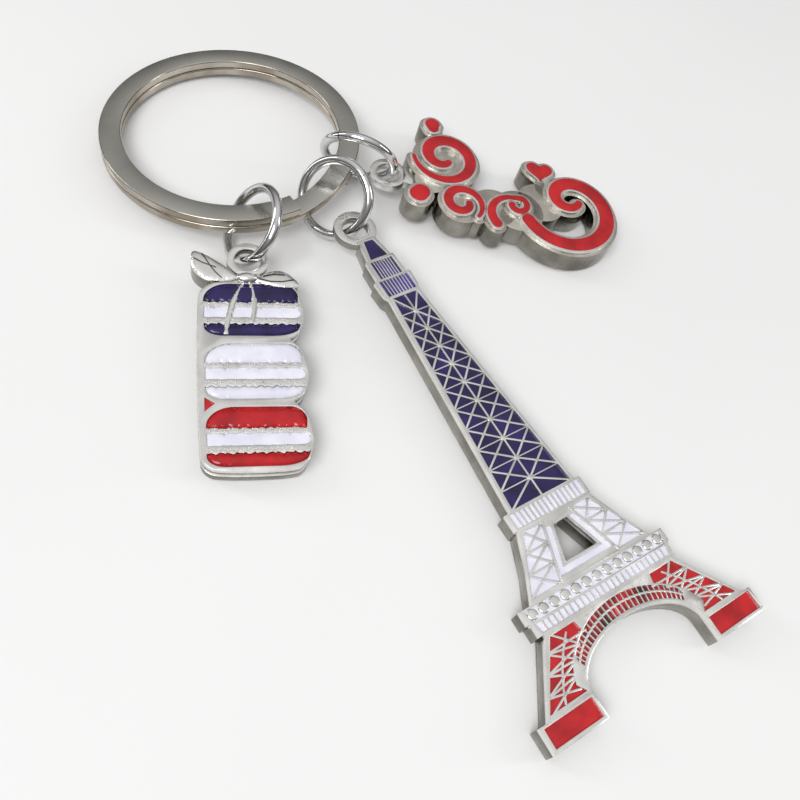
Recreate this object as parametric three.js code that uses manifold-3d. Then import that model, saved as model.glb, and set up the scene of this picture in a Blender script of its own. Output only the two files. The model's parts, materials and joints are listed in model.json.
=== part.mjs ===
// Keychain: a two-turn split ring that carries three charms, each on its own wire jump ring.
// Millimetres, +Z up. It lies on a table at Z = 0, charms face up, with the tower's feet to the lower right.
import * as THREE from "three";
import { mergeVertices } from "three/addons/utils/BufferGeometryUtils.js";
import Module from "manifold-3d";

const wasm = await Module();
wasm.setup();

// ---- Split ring ----
const RING_OUTER_DIAMETER = 30;
const RING_BAND_WIDTH = 2.45;
const RING_TURN_THICKNESS = 0.95;
const RING_TURN_GAP = 0.1;
const RAMP_START_DEG = -54; // the top turn ends here and the strip starts to climb
const RAMP_SWEEP_DEG = 32;
const RING_STEP_DEG = 4;
const RING_LEAN = 0.088; // rise over run: the charms' side of the ring lies on the jump rings
const RING_LOW_SIDE_DEG = 145;

// ---- Jump rings ----
const JUMP_OUTER_DIAMETER = 9.5;
const JUMP_WIRE_DIAMETER = 1.1;
const JUMP_BUTT_GAP = 0.12;
const TABLE_GAP = 0.02;
const WIRE_CLEARANCE = 0.15; // air between a jump ring's wire and what it runs through

// ---- Charms, shared ----
const PLATE_THICKNESS = 2.5;
const EYE_THICKNESS = 1;
const ENAMEL_DEPTH = 0.3;
const BAR_HEIGHT = 0.2; // lattice bars bridge the pockets at the face
const FIT = 0.05; // air round each enamel fill
const POCKET_DEPTH = BAR_HEIGHT + ENAMEL_DEPTH + 2 * FIT;
const RIM = 0.4;

// ---- Tower charm, measured down from the centre of its eye ----
const TOWER_LENGTH = 56.7; // eye centre to the underside of the feet; the shaft takes up what the tiers leave
const TOWER_FOOT_SPAN = 26.9;
const FINIAL_TIP_DROP = 2.6; // eye centre to the finial's tip
const FINIAL_HEIGHT = 2.4;
const UPPER_DRUM_HEIGHT = 2.85;
const LOWER_DRUM_HEIGHT = 2.45;
const UPPER_DECK_HEIGHT = 1.9;
const PANEL_HEIGHT = 6.5; // between the two decks
const LOWER_DECK_HEIGHT = 2.8;
const ARCH_CROWN_HEIGHT = 2.45; // lower deck to the top of the arch
const ARCH_RISE = 3.9;
const FOOT_HEIGHT = 2.5;
const FINIAL_TIP_HALF = 0.55;
const FINIAL_BASE_HALF = 1.05;
const UPPER_DRUM_HALF = 1.75;
const LOWER_DRUM_HALF = 2.2;
const SHAFT_TOP_HALF = 1.9;
const SHAFT_BASE_HALF = 4.1;
const UPPER_DECK_HALF = 4.75;
const PANEL_BASE_HALF = 7.6;
const LOWER_DECK_HALF = 9.05;
const LEG_TOP_HALF = 8.15;
const LEG_SET_IN = 1; // the leg's outer edge behind the foot's
const FOOT_WIDTH = 6.3;
const WINDOW_DROP = 1.05; // upper deck to the window
const WINDOW_HEIGHT = 3.6;
const WINDOW_TOP_HALF = 0.8;
const WINDOW_BASE_HALF = 2;
const WINDOW_FRAME = 0.35; // bare metal round the window
const WINDOW_ENAMEL = 0.65; // white band round the frame
const WINDOW_RAIL = 0.3; // metal between the white band and the panels
const TOWER_EYE_HOLE_DIAMETER = 2.9;
const TOWER_EYE_DIAMETER = 4.9;
const SHAFT_STARS = 10;
const LEG_ROWS = 4;
const ARCH_SLOTS = 17;
const DECK_SCALLOPS = 9;
const UPPER_DECK_RIBS = 9;
const DRUM_RIBS = 4;
const LATTICE_BAR = 0.26;

// ---- Macaron charm ----
const MACARON_WIDTH = 11;
const MACARON_HEIGHT = 7.15; // one macaron of the stack
const MACARON_TOP = 3.2; // eye centre down to the top of the stack
const MACARON_BAR = 0.75; // the straight bar on the left
const MACARON_SEAM = 0.45; // metal over each shell and under each base
const MACARON_EDGE = 0.65; // metal right of the enamel
const SHELL_RISE = 0.8; // middle of a macaron up to its shell's ruffled foot
const BASE_DROP = 1.75; // middle of a macaron down to its base's ruffled top
const FILLING_LOW = 0.95; // middle of a macaron down to the filling's lower edge
const FILLING_HIGH = 0.3;
const BOW_REACH = 6;
const MACARON_BULGE = 1.1; // how far each macaron swells past the creases between them
const MACARON_GROOVE = 0.4; // width and depth of the groove round the stack's side wall
const MACARON_EYE_HOLE_DIAMETER = 2.8;
const MACARON_EYE_DIAMETER = 4.4;
const RUFFLE_WAVE = 0.13;

// ---- Scroll charm ----
const SCROLL_THICKNESS = 2.9;
const SCROLL_LENGTH = 27.8; // eye centre to the far side of the end volute
const SCROLL_DRAWN_LENGTH = 28.5; // the scrollwork below is drawn at this length, then stretched to fit
const SCROLL_BORDER = 0.7;
const STROKE_SIDES = 10; // facets of a stroke's round ends
const SCROLL_FIELD_DROP = 0.4;
const SCROLL_EYE_HOLE_DIAMETER = 2.8;
const SCROLL_EYE_DIAMETER = 4.5;

// ---- Where each charm hangs, and which way it points ----
const CHARMS = {
  macaron: { at: -76, heading: -82, lean: 52, hook: -26, hole: MACARON_EYE_HOLE_DIAMETER },
  tower: { at: -36.8, heading: -57.4, lean: 54, hook: -28, hole: TOWER_EYE_HOLE_DIAMETER },
  scroll: { at: -11, heading: 0, lean: 110, hook: -38, hole: SCROLL_EYE_HOLE_DIAMETER },
};

const SILVER = { color: 0xc9c5bb, roughness: 0.3, metalness: 1 };
const BRIGHT = { color: 0xd4d4d6, roughness: 0.18, metalness: 1 };
const NAVY = { color: 0x241a5c, roughness: 0.12, metalness: 0 };
const RED = { color: 0xb8141c, roughness: 0.12, metalness: 0 };
const WHITE = { color: 0xe9eaf6, roughness: 0.12, metalness: 0 };

const MESH_TOLERANCE = 0.004; // slivers finer than this are cleaned off the joined strokes

const rad = THREE.MathUtils.degToRad;
const lerp = THREE.MathUtils.lerp;

// ---------- Solids ----------

function solid(geometry) {
  const bare = geometry.index ? geometry.toNonIndexed() : geometry.clone();
  bare.deleteAttribute("normal");
  bare.deleteAttribute("uv");
  const merged = mergeVertices(bare, 1e-4);
  return new wasm.Manifold(
    new wasm.Mesh({
      numProp: 3,
      vertProperties: merged.attributes.position.array,
      triVerts: new Uint32Array(merged.index.array),
    }),
  );
}

function geometryOf(body) {
  const mesh = body.getMesh();
  const geometry = new THREE.BufferGeometry();
  geometry.setAttribute("position", new THREE.BufferAttribute(mesh.vertProperties, 3));
  geometry.setIndex(new THREE.BufferAttribute(mesh.triVerts, 1));
  geometry.computeVertexNormals();
  return geometry;
}

function meshOf(name, body, finish) {
  const mesh = new THREE.Mesh(geometryOf(body), new THREE.MeshStandardMaterial(finish));
  mesh.name = name;
  return mesh;
}

function join(bodies) {
  return bodies.reduce((whole, body) => whole.add(body));
}

// A flat piece from an outline of [x, y] points, between two heights, with an optional rounded top edge.
function slab(points, z0, z1, round = 0) {
  const shape = new THREE.Shape(points.map(([x, y]) => new THREE.Vector2(x, y)));
  const geometry = new THREE.ExtrudeGeometry(shape, {
    depth: z1 - z0 - 2 * round,
    bevelEnabled: round > 0,
    bevelThickness: round,
    bevelSize: round,
    bevelOffset: -round,
    bevelSegments: 2,
  });
  geometry.translate(0, 0, z0 + round);
  return solid(geometry);
}

function disc(x, y, radius, z0, z1, sides = 28) {
  return slab(arc(x, y, radius, radius, 0, 360, sides), z0, z1);
}

// A straight strip from (x0, y0) to (x1, y1).
function strip(x0, y0, x1, y1, width, z0, z1) {
  const length = Math.hypot(x1 - x0, y1 - y0);
  const nx = (-(y1 - y0) / length) * (width / 2);
  const ny = ((x1 - x0) / length) * (width / 2);
  return slab([[x0 - nx, y0 - ny], [x1 - nx, y1 - ny], [x1 + nx, y1 + ny], [x0 + nx, y0 + ny]], z0, z1);
}

// Points along an arc of an ellipse; a full turn leaves out its repeated last point.
function arc(x, y, rx, ry, from, to, steps) {
  const count = Math.abs(to - from) === 360 ? steps : steps + 1;
  return Array.from({ length: count }, (_, i) => {
    const angle = rad(lerp(from, to, i / steps));
    return [x + rx * Math.cos(angle), y + ry * Math.sin(angle)];
  });
}

// A solid swept through cross-sections that all have the same number of points, capped at both ends.
function swept(sections) {
  const sides = sections[0].length;
  const positions = sections.flat().flatMap((p) => [p.x, p.y, p.z]);
  const index = [];
  for (let i = 0; i + 1 < sections.length; i++) {
    for (let j = 0; j < sides; j++) {
      const a = i * sides + j;
      const b = i * sides + ((j + 1) % sides);
      index.push(a, b, b + sides, a, b + sides, a + sides);
    }
  }
  const last = (sections.length - 1) * sides;
  for (let j = 1; j + 1 < sides; j++) {
    index.push(0, j + 1, j);
    index.push(last, last + j, last + j + 1);
  }
  const geometry = new THREE.BufferGeometry();
  geometry.setAttribute("position", new THREE.Float32BufferAttribute(positions, 3));
  geometry.setIndex(index);
  return solid(geometry);
}

// ---------- Split ring and jump rings, in the ring's own frame: Z = 0 is the band's underside ----------

function splitRing() {
  const outer = RING_OUTER_DIAMETER / 2;
  const inner = outer - RING_BAND_WIDTH;
  const rise = RING_TURN_THICKNESS + RING_TURN_GAP;
  const rampEnd = RAMP_START_DEG + RAMP_SWEEP_DEG;
  const start = rampEnd;
  const rampFrom = RAMP_START_DEG + 360;
  const end = rampFrom + 360;
  const steps = Math.round((end - start) / RING_STEP_DEG);
  const sections = [];
  for (let i = 0; i <= steps; i++) {
    const degrees = lerp(start, end, i / steps);
    const t = THREE.MathUtils.clamp((degrees - rampFrom) / RAMP_SWEEP_DEG, 0, 1);
    const z = rise * THREE.MathUtils.smoothstep(t, 0, 1);
    const c = Math.cos(rad(degrees));
    const s = Math.sin(rad(degrees));
    const corners = [[inner, z], [inner, z + RING_TURN_THICKNESS], [outer, z + RING_TURN_THICKNESS], [outer, z]];
    sections.push(corners.map(([r, h]) => new THREE.Vector3(r * c, r * s, h)));
  }
  return swept(sections);
}

// Where a charm's jump ring stands: its centre, its two in-plane directions, and the point it hooks the charm.
function hangPoint({ at, lean, hook, hole }) {
  const wire = JUMP_WIRE_DIAMETER / 2;
  const radius = (JUMP_OUTER_DIAMETER - JUMP_WIRE_DIAMETER) / 2;
  const outward = new THREE.Vector3(Math.cos(rad(at)), Math.sin(rad(at)), 0);
  const along = new THREE.Vector3(-Math.sin(rad(at)), Math.cos(rad(at)), 0);
  const up = along.multiplyScalar(Math.cos(rad(lean))).setZ(Math.sin(rad(lean)));
  const middle = (RING_OUTER_DIAMETER - RING_BAND_WIDTH) / 2;
  const low = RING_LEAN * (RING_OUTER_DIAMETER / 2 - middle * Math.cos(rad(at - RING_LOW_SIDE_DEG)));
  const height = TABLE_GAP - low + wire + radius * Math.sin(rad(lean));
  // The band lies against the inside of the jump ring, with its underside the furthest from the ring's centre.
  const bore = radius - wire - WIRE_CLEARANCE;
  const below = Math.max(height, 2 * RING_TURN_THICKNESS + RING_TURN_GAP - height) / Math.sin(rad(lean));
  const out = Math.sqrt(bore ** 2 - below ** 2) - RING_BAND_WIDTH / 2;
  const centre = outward.clone().multiplyScalar(middle + out).setZ(height);
  const reach = (hole / 2 - wire - WIRE_CLEARANCE) / 3; // the wire crosses the eye at a slant
  const eye = centre
    .clone()
    .addScaledVector(outward, radius * Math.cos(rad(hook)) + reach)
    .addScaledVector(up, radius * Math.sin(rad(hook)));
  return { radius, wire, outward, up, centre, eye, axis: outward.clone().cross(up) };
}

function jumpRing(hang, buttDegrees) {
  const { radius, wire, outward, up, centre, axis } = hang;
  const gap = THREE.MathUtils.radToDeg(JUMP_BUTT_GAP / radius);
  const turns = 40;
  const sides = 10;
  const sections = [];
  for (let i = 0; i <= turns; i++) {
    const angle = rad(lerp(buttDegrees + gap / 2, buttDegrees + 360 - gap / 2, i / turns));
    const spoke = outward.clone().multiplyScalar(Math.cos(angle)).addScaledVector(up, Math.sin(angle));
    const section = [];
    for (let j = 0; j < sides; j++) {
      const turn = (-2 * Math.PI * j) / sides;
      section.push(
        centre
          .clone()
          .addScaledVector(spoke, radius + wire * Math.cos(turn))
          .addScaledVector(axis, wire * Math.sin(turn)),
      );
    }
    sections.push(section);
  }
  return swept(sections);
}

// ---------- Charm building blocks: face up, eye centre at X = Y = 0, back at Z = 0 ----------

const FACE = PLATE_THICKNESS;
const POCKET_FLOOR = FACE - POCKET_DEPTH;
const ENAMEL_LOW = POCKET_FLOOR + FIT;
const ENAMEL_HIGH = ENAMEL_LOW + ENAMEL_DEPTH;
const BAR_LOW = FACE - BAR_HEIGHT;

function eyeBody(diameter, thickness = PLATE_THICKNESS) {
  const z = (thickness - EYE_THICKNESS) / 2;
  return disc(0, 0, diameter / 2, z, z + EYE_THICKNESS, 36);
}

function eyeCutter(holeDiameter) {
  return disc(0, 0, holeDiameter / 2, -1, FACE + 2, 32);
}

// Moves each point of a convex-ish outline towards a centre by a fixed distance.
function inset(points, distance) {
  return points.map((p, i) => {
    const a = points[(i + points.length - 1) % points.length];
    const b = points[(i + 1) % points.length];
    const n1 = unitNormal(a, p);
    const n2 = unitNormal(p, b);
    const scale = distance / (1 + n1[0] * n2[0] + n1[1] * n2[1]);
    return [p[0] + (n1[0] + n2[0]) * scale, p[1] + (n1[1] + n2[1]) * scale];
  });
}

// The inward normal of an edge of an anticlockwise outline.
function unitNormal([ax, ay], [bx, by]) {
  const length = Math.hypot(bx - ax, by - ay);
  return [-(by - ay) / length, (bx - ax) / length];
}

function mirrored(points) {
  return points.map(([x, y]) => [-x, y]).reverse();
}

// ---------- Tower charm ----------

const HALF_FOOT = TOWER_FOOT_SPAN / 2;
// Levels down the tower from its eye. The tiers are stacked up from the feet and down from the finial.
const Y = { base: -TOWER_LENGTH, finialTip: -FINIAL_TIP_DROP };
Y.footTop = Y.base + FOOT_HEIGHT;
Y.archTop = Y.footTop + ARCH_RISE;
Y.lowerDeckBase = Y.archTop + ARCH_CROWN_HEIGHT;
Y.lowerDeckTop = Y.lowerDeckBase + LOWER_DECK_HEIGHT;
Y.upperDeckBase = Y.lowerDeckTop + PANEL_HEIGHT;
Y.shaftBase = Y.upperDeckBase + UPPER_DECK_HEIGHT;
Y.finialBase = Y.finialTip - FINIAL_HEIGHT;
Y.drumSplit = Y.finialBase - UPPER_DRUM_HEIGHT;
Y.drumBase = Y.drumSplit - LOWER_DRUM_HEIGHT;
Y.windowTop = Y.upperDeckBase - WINDOW_DROP;
Y.windowBase = Y.windowTop - WINDOW_HEIGHT;
const X = {
  finialTip: FINIAL_TIP_HALF,
  finialBase: FINIAL_BASE_HALF,
  upperDrum: UPPER_DRUM_HALF,
  lowerDrum: LOWER_DRUM_HALF,
  shaftTop: SHAFT_TOP_HALF,
  shaftBase: SHAFT_BASE_HALF,
  upperDeck: UPPER_DECK_HALF,
  midBase: PANEL_BASE_HALF,
  lowerDeck: LOWER_DECK_HALF,
  legTop: LEG_TOP_HALF,
  legBase: HALF_FOOT - LEG_SET_IN,
  arch: HALF_FOOT - FOOT_WIDTH,
  foot: HALF_FOOT,
};

function towerOutline() {
  const right = [
    [X.finialTip + RIM, Y.finialTip + RIM],
    [X.finialBase + RIM, Y.finialBase],
    [X.upperDrum, Y.finialBase - 0.1],
    [X.upperDrum + 0.1, Y.drumSplit + 0.1],
    [X.lowerDrum + 0.1, Y.drumSplit],
    [X.lowerDrum, Y.drumBase + 0.5],
    [X.shaftTop, Y.drumBase],
    [X.shaftBase, Y.shaftBase],
    [X.upperDeck, Y.shaftBase],
    [X.upperDeck, Y.upperDeckBase],
    [X.upperDeck - 0.15, Y.upperDeckBase - 0.1],
    [lerp(X.upperDeck, X.midBase, 0.45), lerp(Y.upperDeckBase, Y.lowerDeckTop, 0.55)],
    [X.midBase, Y.lowerDeckTop],
    [X.lowerDeck, Y.lowerDeckTop],
    [X.lowerDeck, lerp(Y.lowerDeckTop, Y.lowerDeckBase, 0.5)],
    [X.lowerDeck - 0.4, lerp(Y.lowerDeckTop, Y.lowerDeckBase, 0.55)],
    [X.lowerDeck - 0.4, Y.lowerDeckBase],
    [X.legTop, Y.lowerDeckBase],
    [X.legBase, Y.footTop],
    [X.foot, Y.footTop],
    [X.foot, Y.base],
    [X.arch, Y.base],
    [X.arch, Y.footTop],
  ];
  const under = arc(0, Y.footTop, X.arch, Y.archTop - Y.footTop, 0, 90, 12).slice(1, -1);
  const half = [...right, ...under];
  const left = half.map(([x, y]) => [-x, y]).reverse();
  return [...half, [0, Y.archTop], ...left].reverse();
}

function trapezoid(topHalf, top, baseHalf, base) {
  return [[-baseHalf, base], [baseHalf, base], [topHalf, top], [-topHalf, top]];
}

// The outline of the right leg's enamel, which follows the arch on its inner side.
function legField() {
  const steps = 6;
  const inner = arc(0, Y.footTop, X.arch + 3 * RIM, Y.archTop - Y.footTop + 2.2, 12, 56, steps);
  const outerTop = [X.legTop - RIM, Y.lowerDeckBase - RIM];
  const outerBase = [X.legBase - 1.5 * RIM, Y.footTop + RIM];
  return [[X.arch + RIM, Y.footTop + RIM], outerBase, outerTop, [inner[steps][0] + 0.2, outerTop[1]], ...inner.reverse()];
}

// The outline of the band of radial slots over the arch.
function archField() {
  const high = arc(0, Y.footTop, X.arch + 2.2 * RIM, Y.lowerDeckBase - RIM - Y.footTop, 32, 148, 20);
  const low = arc(0, Y.footTop, X.arch + RIM, Y.archTop + RIM - Y.footTop, 148, 32, 20);
  return [...high, ...low];
}

function footField() {
  return [
    [X.arch + RIM, Y.base + RIM],
    [X.foot - RIM, Y.base + RIM],
    [X.foot - RIM, Y.footTop - RIM * 0.6],
    [X.arch + RIM, Y.footTop - RIM * 0.6],
  ];
}

// Half the window's width at a height, carried on past its ends for what runs beside it.
function windowHalf(y) {
  return lerp(WINDOW_TOP_HALF, WINDOW_BASE_HALF, (Y.windowTop - y) / WINDOW_HEIGHT);
}

function panelField() {
  const beside = WINDOW_FRAME + WINDOW_ENAMEL + WINDOW_RAIL;
  const top = Y.upperDeckBase - RIM;
  const base = Y.lowerDeckTop + RIM;
  return [
    [windowHalf(base) + beside, base],
    [X.midBase - RIM, base],
    [X.upperDeck - 1.6 * RIM, top],
    [windowHalf(top) + beside, top],
  ];
}

// The white band that runs down one side of the window, under it and up the other.
function windowField() {
  const outer = WINDOW_FRAME + WINDOW_ENAMEL;
  const [low, high] = [Y.windowBase - outer, Y.windowBase - WINDOW_FRAME];
  const top = Y.windowTop;
  const right = [
    [windowHalf(low) + outer, low],
    [windowHalf(top) + outer, top],
    [windowHalf(top) + WINDOW_FRAME, top],
    [windowHalf(high) + WINDOW_FRAME, high],
  ];
  return [...right, ...mirrored(right)];
}

// Every enamel field of the tower: its outline and its colour.
function towerFields() {
  const rightLeg = legField();
  const foot = footField();
  const panel = panelField();
  const drumTop = Y.finialBase - RIM;
  return {
    finial: [trapezoid(X.finialTip, Y.finialTip, X.finialBase, Y.finialBase), NAVY],
    upper_drum: [trapezoid(X.upperDrum - RIM, drumTop, X.upperDrum - RIM, Y.drumSplit + 0.15), NAVY],
    lower_drum: [trapezoid(X.lowerDrum - RIM, Y.drumSplit - 0.15, X.shaftTop - 0.15, Y.drumBase + 0.25), NAVY],
    shaft: [trapezoid(X.shaftTop - RIM, Y.drumBase - 0.15, X.shaftBase - RIM, Y.shaftBase + 0.15), NAVY],
    upper_deck: [trapezoid(X.upperDeck - RIM, Y.shaftBase - 0.2, X.upperDeck - RIM, Y.upperDeckBase + 0.15), WHITE],
    left_panel: [mirrored(panel), WHITE],
    right_panel: [panel, WHITE],
    window: [windowField(), WHITE],
    lower_deck: [
      trapezoid(X.lowerDeck - RIM, Y.lowerDeckTop - 0.2, X.lowerDeck - 2.4 * RIM, Y.lowerDeckBase + 0.2),
      WHITE,
    ],
    arch: [archField(), RED],
    left_leg: [mirrored(rightLeg), RED],
    right_leg: [rightLeg, RED],
    left_foot: [mirrored(foot), RED],
    right_foot: [foot, RED],
  };
}

// Raised bars that cross the shaft: a star at each level, with long diagonals to the rails.
function shaftLattice() {
  const top = Y.drumBase;
  const base = Y.shaftBase;
  const level = (i) => lerp(top, base, i / (SHAFT_STARS + 0.9));
  const rail = (y) => lerp(X.shaftTop, X.shaftBase, (y - top) / (base - top)) - RIM / 2;
  const bars = [strip(0, top, 0, base, LATTICE_BAR, BAR_LOW, FACE)];
  for (let i = 1; i <= SHAFT_STARS; i++) {
    const y = level(i);
    bars.push(strip(-rail(y), y, rail(y), y, LATTICE_BAR * 0.8, BAR_LOW, FACE));
    for (const next of [level(i - 1), level(i + 1)]) {
      const end = Math.max(next, base);
      for (const side of [-1, 1]) bars.push(strip(0, y, side * rail(end), end, LATTICE_BAR, BAR_LOW, FACE));
    }
  }
  return bars;
}

// Raised bars on the right leg: a spine, a rung at each row and crossed diagonals between the rungs.
function legLattice(side) {
  const outer = (t) => [lerp(X.legTop, X.legBase, t) - RIM / 2, lerp(Y.lowerDeckBase, Y.footTop, t)];
  const inner = (t) => {
    const angle = rad(lerp(58, 8, t));
    return [(X.arch + 2 * RIM) * Math.cos(angle), Y.footTop + (Y.archTop - Y.footTop + 1.8) * Math.sin(angle)];
  };
  const bars = [];
  const add = (a, b, width) => bars.push(strip(side * a[0], a[1], side * b[0], b[1], width, BAR_LOW, FACE));
  const middle = (t) => outer(t).map((v, k) => (v + inner(t)[k]) / 2);
  for (let row = 0; row < LEG_ROWS; row++) {
    const t0 = row / LEG_ROWS;
    const t1 = (row + 1) / LEG_ROWS;
    add(middle(t0), middle(t1), LATTICE_BAR);
    add(outer(t0), inner(t1), LATTICE_BAR);
    add(inner(t0), outer(t1), LATTICE_BAR);
    if (row > 0) add(outer(t0), inner(t0), LATTICE_BAR);
  }
  return bars;
}

// Radial bars over the arch, with one arched bar between the two rows of slots.
function archLattice() {
  const bars = [];
  const point = (angle, t) => [
    lerp(X.arch + RIM / 2, X.arch + 2.6 * RIM, t) * Math.cos(angle),
    Y.footTop + lerp(Y.archTop - Y.footTop + RIM / 2, Y.lowerDeckBase - Y.footTop, t) * Math.sin(angle),
  ];
  const at = (i) => rad(lerp(30, 150, i / ARCH_SLOTS));
  for (let i = 0; i < ARCH_SLOTS; i++) {
    const middle = (at(i) + at(i + 1)) / 2;
    if (i > 0) bars.push(strip(...point(at(i), 0), ...point(at(i), 1), LATTICE_BAR * 0.85, BAR_LOW, FACE));
    bars.push(strip(...point(at(i) - 0.02, 0.5), ...point(at(i + 1) + 0.02, 0.5), LATTICE_BAR, BAR_LOW, FACE));
    if (i === 0) bars.push(strip(...point(middle, 0), ...point(middle, 1), LATTICE_BAR, BAR_LOW, FACE));
  }
  return bars;
}

function panelLattice(side) {
  const [innerBase, outerBase, outerTop, innerTop] = panelField();
  const rows = 3;
  const at = (a, b, t) => [side * lerp(a[0], b[0], t), lerp(a[1], b[1], t)];
  const bars = [];
  for (let row = 0; row < rows; row++) {
    const t0 = row / rows;
    const t1 = (row + 1) / rows;
    const [a0, a1] = [at(innerTop, innerBase, t0), at(innerTop, innerBase, t1)];
    const [b0, b1] = [at(outerTop, outerBase, t0), at(outerTop, outerBase, t1)];
    bars.push(strip(...a0, ...b1, LATTICE_BAR, BAR_LOW, FACE));
    bars.push(strip(...b0, ...a1, LATTICE_BAR, BAR_LOW, FACE));
    if (row > 0) bars.push(strip(...a0, ...b0, LATTICE_BAR, BAR_LOW, FACE));
  }
  return bars;
}

// Upright ribs, evenly spaced across a field.
function ribs(count, half, top, base, width) {
  return Array.from({ length: count - 1 }, (_, i) => {
    const x = lerp(-half, half, (i + 1) / count);
    return strip(x, base, x, top, width, BAR_LOW, FACE);
  });
}

function deckScallops() {
  const half = X.lowerDeck - RIM;
  const rail = lerp(Y.lowerDeckTop, Y.lowerDeckBase, 0.55);
  const pitch = (2 * half) / DECK_SCALLOPS;
  const bars = [strip(-X.lowerDeck + 0.2, rail, X.lowerDeck - 0.2, rail, LATTICE_BAR, BAR_LOW, FACE)];
  for (let i = 0; i < DECK_SCALLOPS; i++) {
    const x = -half + pitch * (i + 0.5);
    bars.push(disc(x, lerp(Y.lowerDeckTop, rail, 0.45), pitch * 0.36, BAR_LOW, FACE, 6));
    bars.push(strip(x, rail, x, Y.lowerDeckTop, LATTICE_BAR * 0.8, BAR_LOW, FACE));
  }
  return [...bars, ...ribs(DECK_SCALLOPS + 3, half - 1.2 * RIM, rail, Y.lowerDeckBase, LATTICE_BAR * 0.7)];
}

function towerCharm() {
  const fields = towerFields();
  const neck = trapezoid(1.1, -0.6, X.finialTip + RIM, Y.finialTip);
  const low = (PLATE_THICKNESS - EYE_THICKNESS) / 2;
  const root = slab(neck, low, low + EYE_THICKNESS);
  let casting = join([slab(towerOutline(), 0, FACE), eyeBody(TOWER_EYE_DIAMETER), root]);
  for (const [outline] of Object.values(fields)) casting = casting.subtract(slab(outline, POCKET_FLOOR, FACE + 1));
  const bars = [
    ...shaftLattice(),
    ...legLattice(1),
    ...legLattice(-1),
    ...archLattice(),
    ...panelLattice(1),
    ...panelLattice(-1),
    ...ribs(UPPER_DECK_RIBS, X.upperDeck - RIM, Y.shaftBase, Y.upperDeckBase, LATTICE_BAR),
    ...ribs(DRUM_RIBS, X.upperDrum - RIM, Y.finialBase - RIM / 2, Y.drumSplit, LATTICE_BAR * 0.7),
    ...ribs(DRUM_RIBS + 1, X.lowerDrum - RIM, Y.drumSplit, Y.drumBase, LATTICE_BAR * 0.7),
    ...deckScallops(),
  ];
  casting = casting.add(join(bars).intersect(slab(towerOutline(), 0, FACE)));
  const windowHole = trapezoid(WINDOW_TOP_HALF, Y.windowTop, WINDOW_BASE_HALF, Y.windowBase);
  casting = casting.subtract(slab(windowHole, -1, FACE + 1)).subtract(eyeCutter(TOWER_EYE_HOLE_DIAMETER));
  const pieces = [meshOf("tower_casting", casting, SILVER)];
  for (const [name, [outline, finish]] of Object.entries(fields)) {
    pieces.push(meshOf("tower_enamel_" + name, slab(inset(outline, FIT), ENAMEL_LOW, ENAMEL_HIGH), finish));
  }
  return pieces;
}

// ---------- Macaron charm ----------

const STACK = ["top", "middle", "bottom"];

// A level line across the stack, ruffled like the foot of a macaron shell.
function ruffle(y, from, to, wave, phase) {
  const steps = 18;
  return Array.from({ length: steps + 1 }, (_, i) => {
    const x = lerp(from, to, i / steps);
    return [x, y + wave * Math.sin(1.9 * i + phase) + wave * 0.6 * Math.sin(0.7 * i + 2 * phase)];
  });
}

// The right-hand bulge of one layer, as a rounded end between two heights.
function bulge(x, low, high, depth, steps = 5) {
  return arc(x, (low + high) / 2, depth, (high - low) / 2, -90, 90, steps);
}

function macaronFields(index) {
  const half = MACARON_HEIGHT / 2;
  const left = -MACARON_WIDTH / 2 + MACARON_BAR;
  const right = MACARON_WIDTH / 2 - MACARON_EDGE;
  const middle = -MACARON_TOP - MACARON_HEIGHT * (index + 0.5);
  const [top, base] = [middle + half - MACARON_SEAM, middle - half + MACARON_SEAM];
  const phase = 1.3 * index;
  const round = 1.6;
  const domeLow = ruffle(middle + SHELL_RISE, left, right, RUFFLE_WAVE, phase);
  const domeTop = [
    ...arc(right - round, top - round, round, round, 20, 90, 4),
    ...arc(left + round, top - round, round, round, 90, 160, 4),
  ];
  const baseTop = ruffle(middle - BASE_DROP, left, right, RUFFLE_WAVE, phase + 1).reverse();
  const baseLow = [
    ...arc(left + round, base + round, round, round, 200, 270, 4),
    ...arc(right - round, base + round, round, round, 270, 340, 4),
  ];
  const [low, high] = [middle - FILLING_LOW, middle + FILLING_HIGH];
  return {
    shell: [...domeLow, ...domeTop],
    filling: [[left, low], ...bulge(right - 0.1, low, high, 0.5), [left, high]],
    base: [...baseLow, ...baseTop],
  };
}

// The bow over the stack: two leaf-shaped loops and a knot, and two tails that hang over the top macaron.
function bow(z0) {
  const y = -MACARON_TOP + 0.3;
  const high = FACE + 0.25;
  const left = [[-0.4, y], [-3, y - 0.9], [-5, y - 0.3], [-BOW_REACH, y + 1.9], [-4.6, y + 2], [-2.2, y + 1.1]];
  const right = [[0.4, y], [2.2, y + 0.7], [4, y + 0.9], [BOW_REACH - 0.3, y], [4.8, y - 0.8], [2.4, y - 0.9]];
  return [slab(left.reverse(), z0, high), slab(right.reverse(), z0, high), disc(0, y, 1, z0, high + 0.2, 14)];
}

function bowTails() {
  const y = -MACARON_TOP + 0.3;
  const tail = (x, drop) => [[x - 0.12, y - drop], [x + 0.2, y - drop + 0.2], [x * 0.2 + 0.4, y], [x * 0.2 - 0.4, y]];
  return [slab(tail(-1, 6.6), BAR_LOW, FACE + 0.1), slab(tail(0.9, 5), BAR_LOW, FACE + 0.1)];
}

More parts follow.
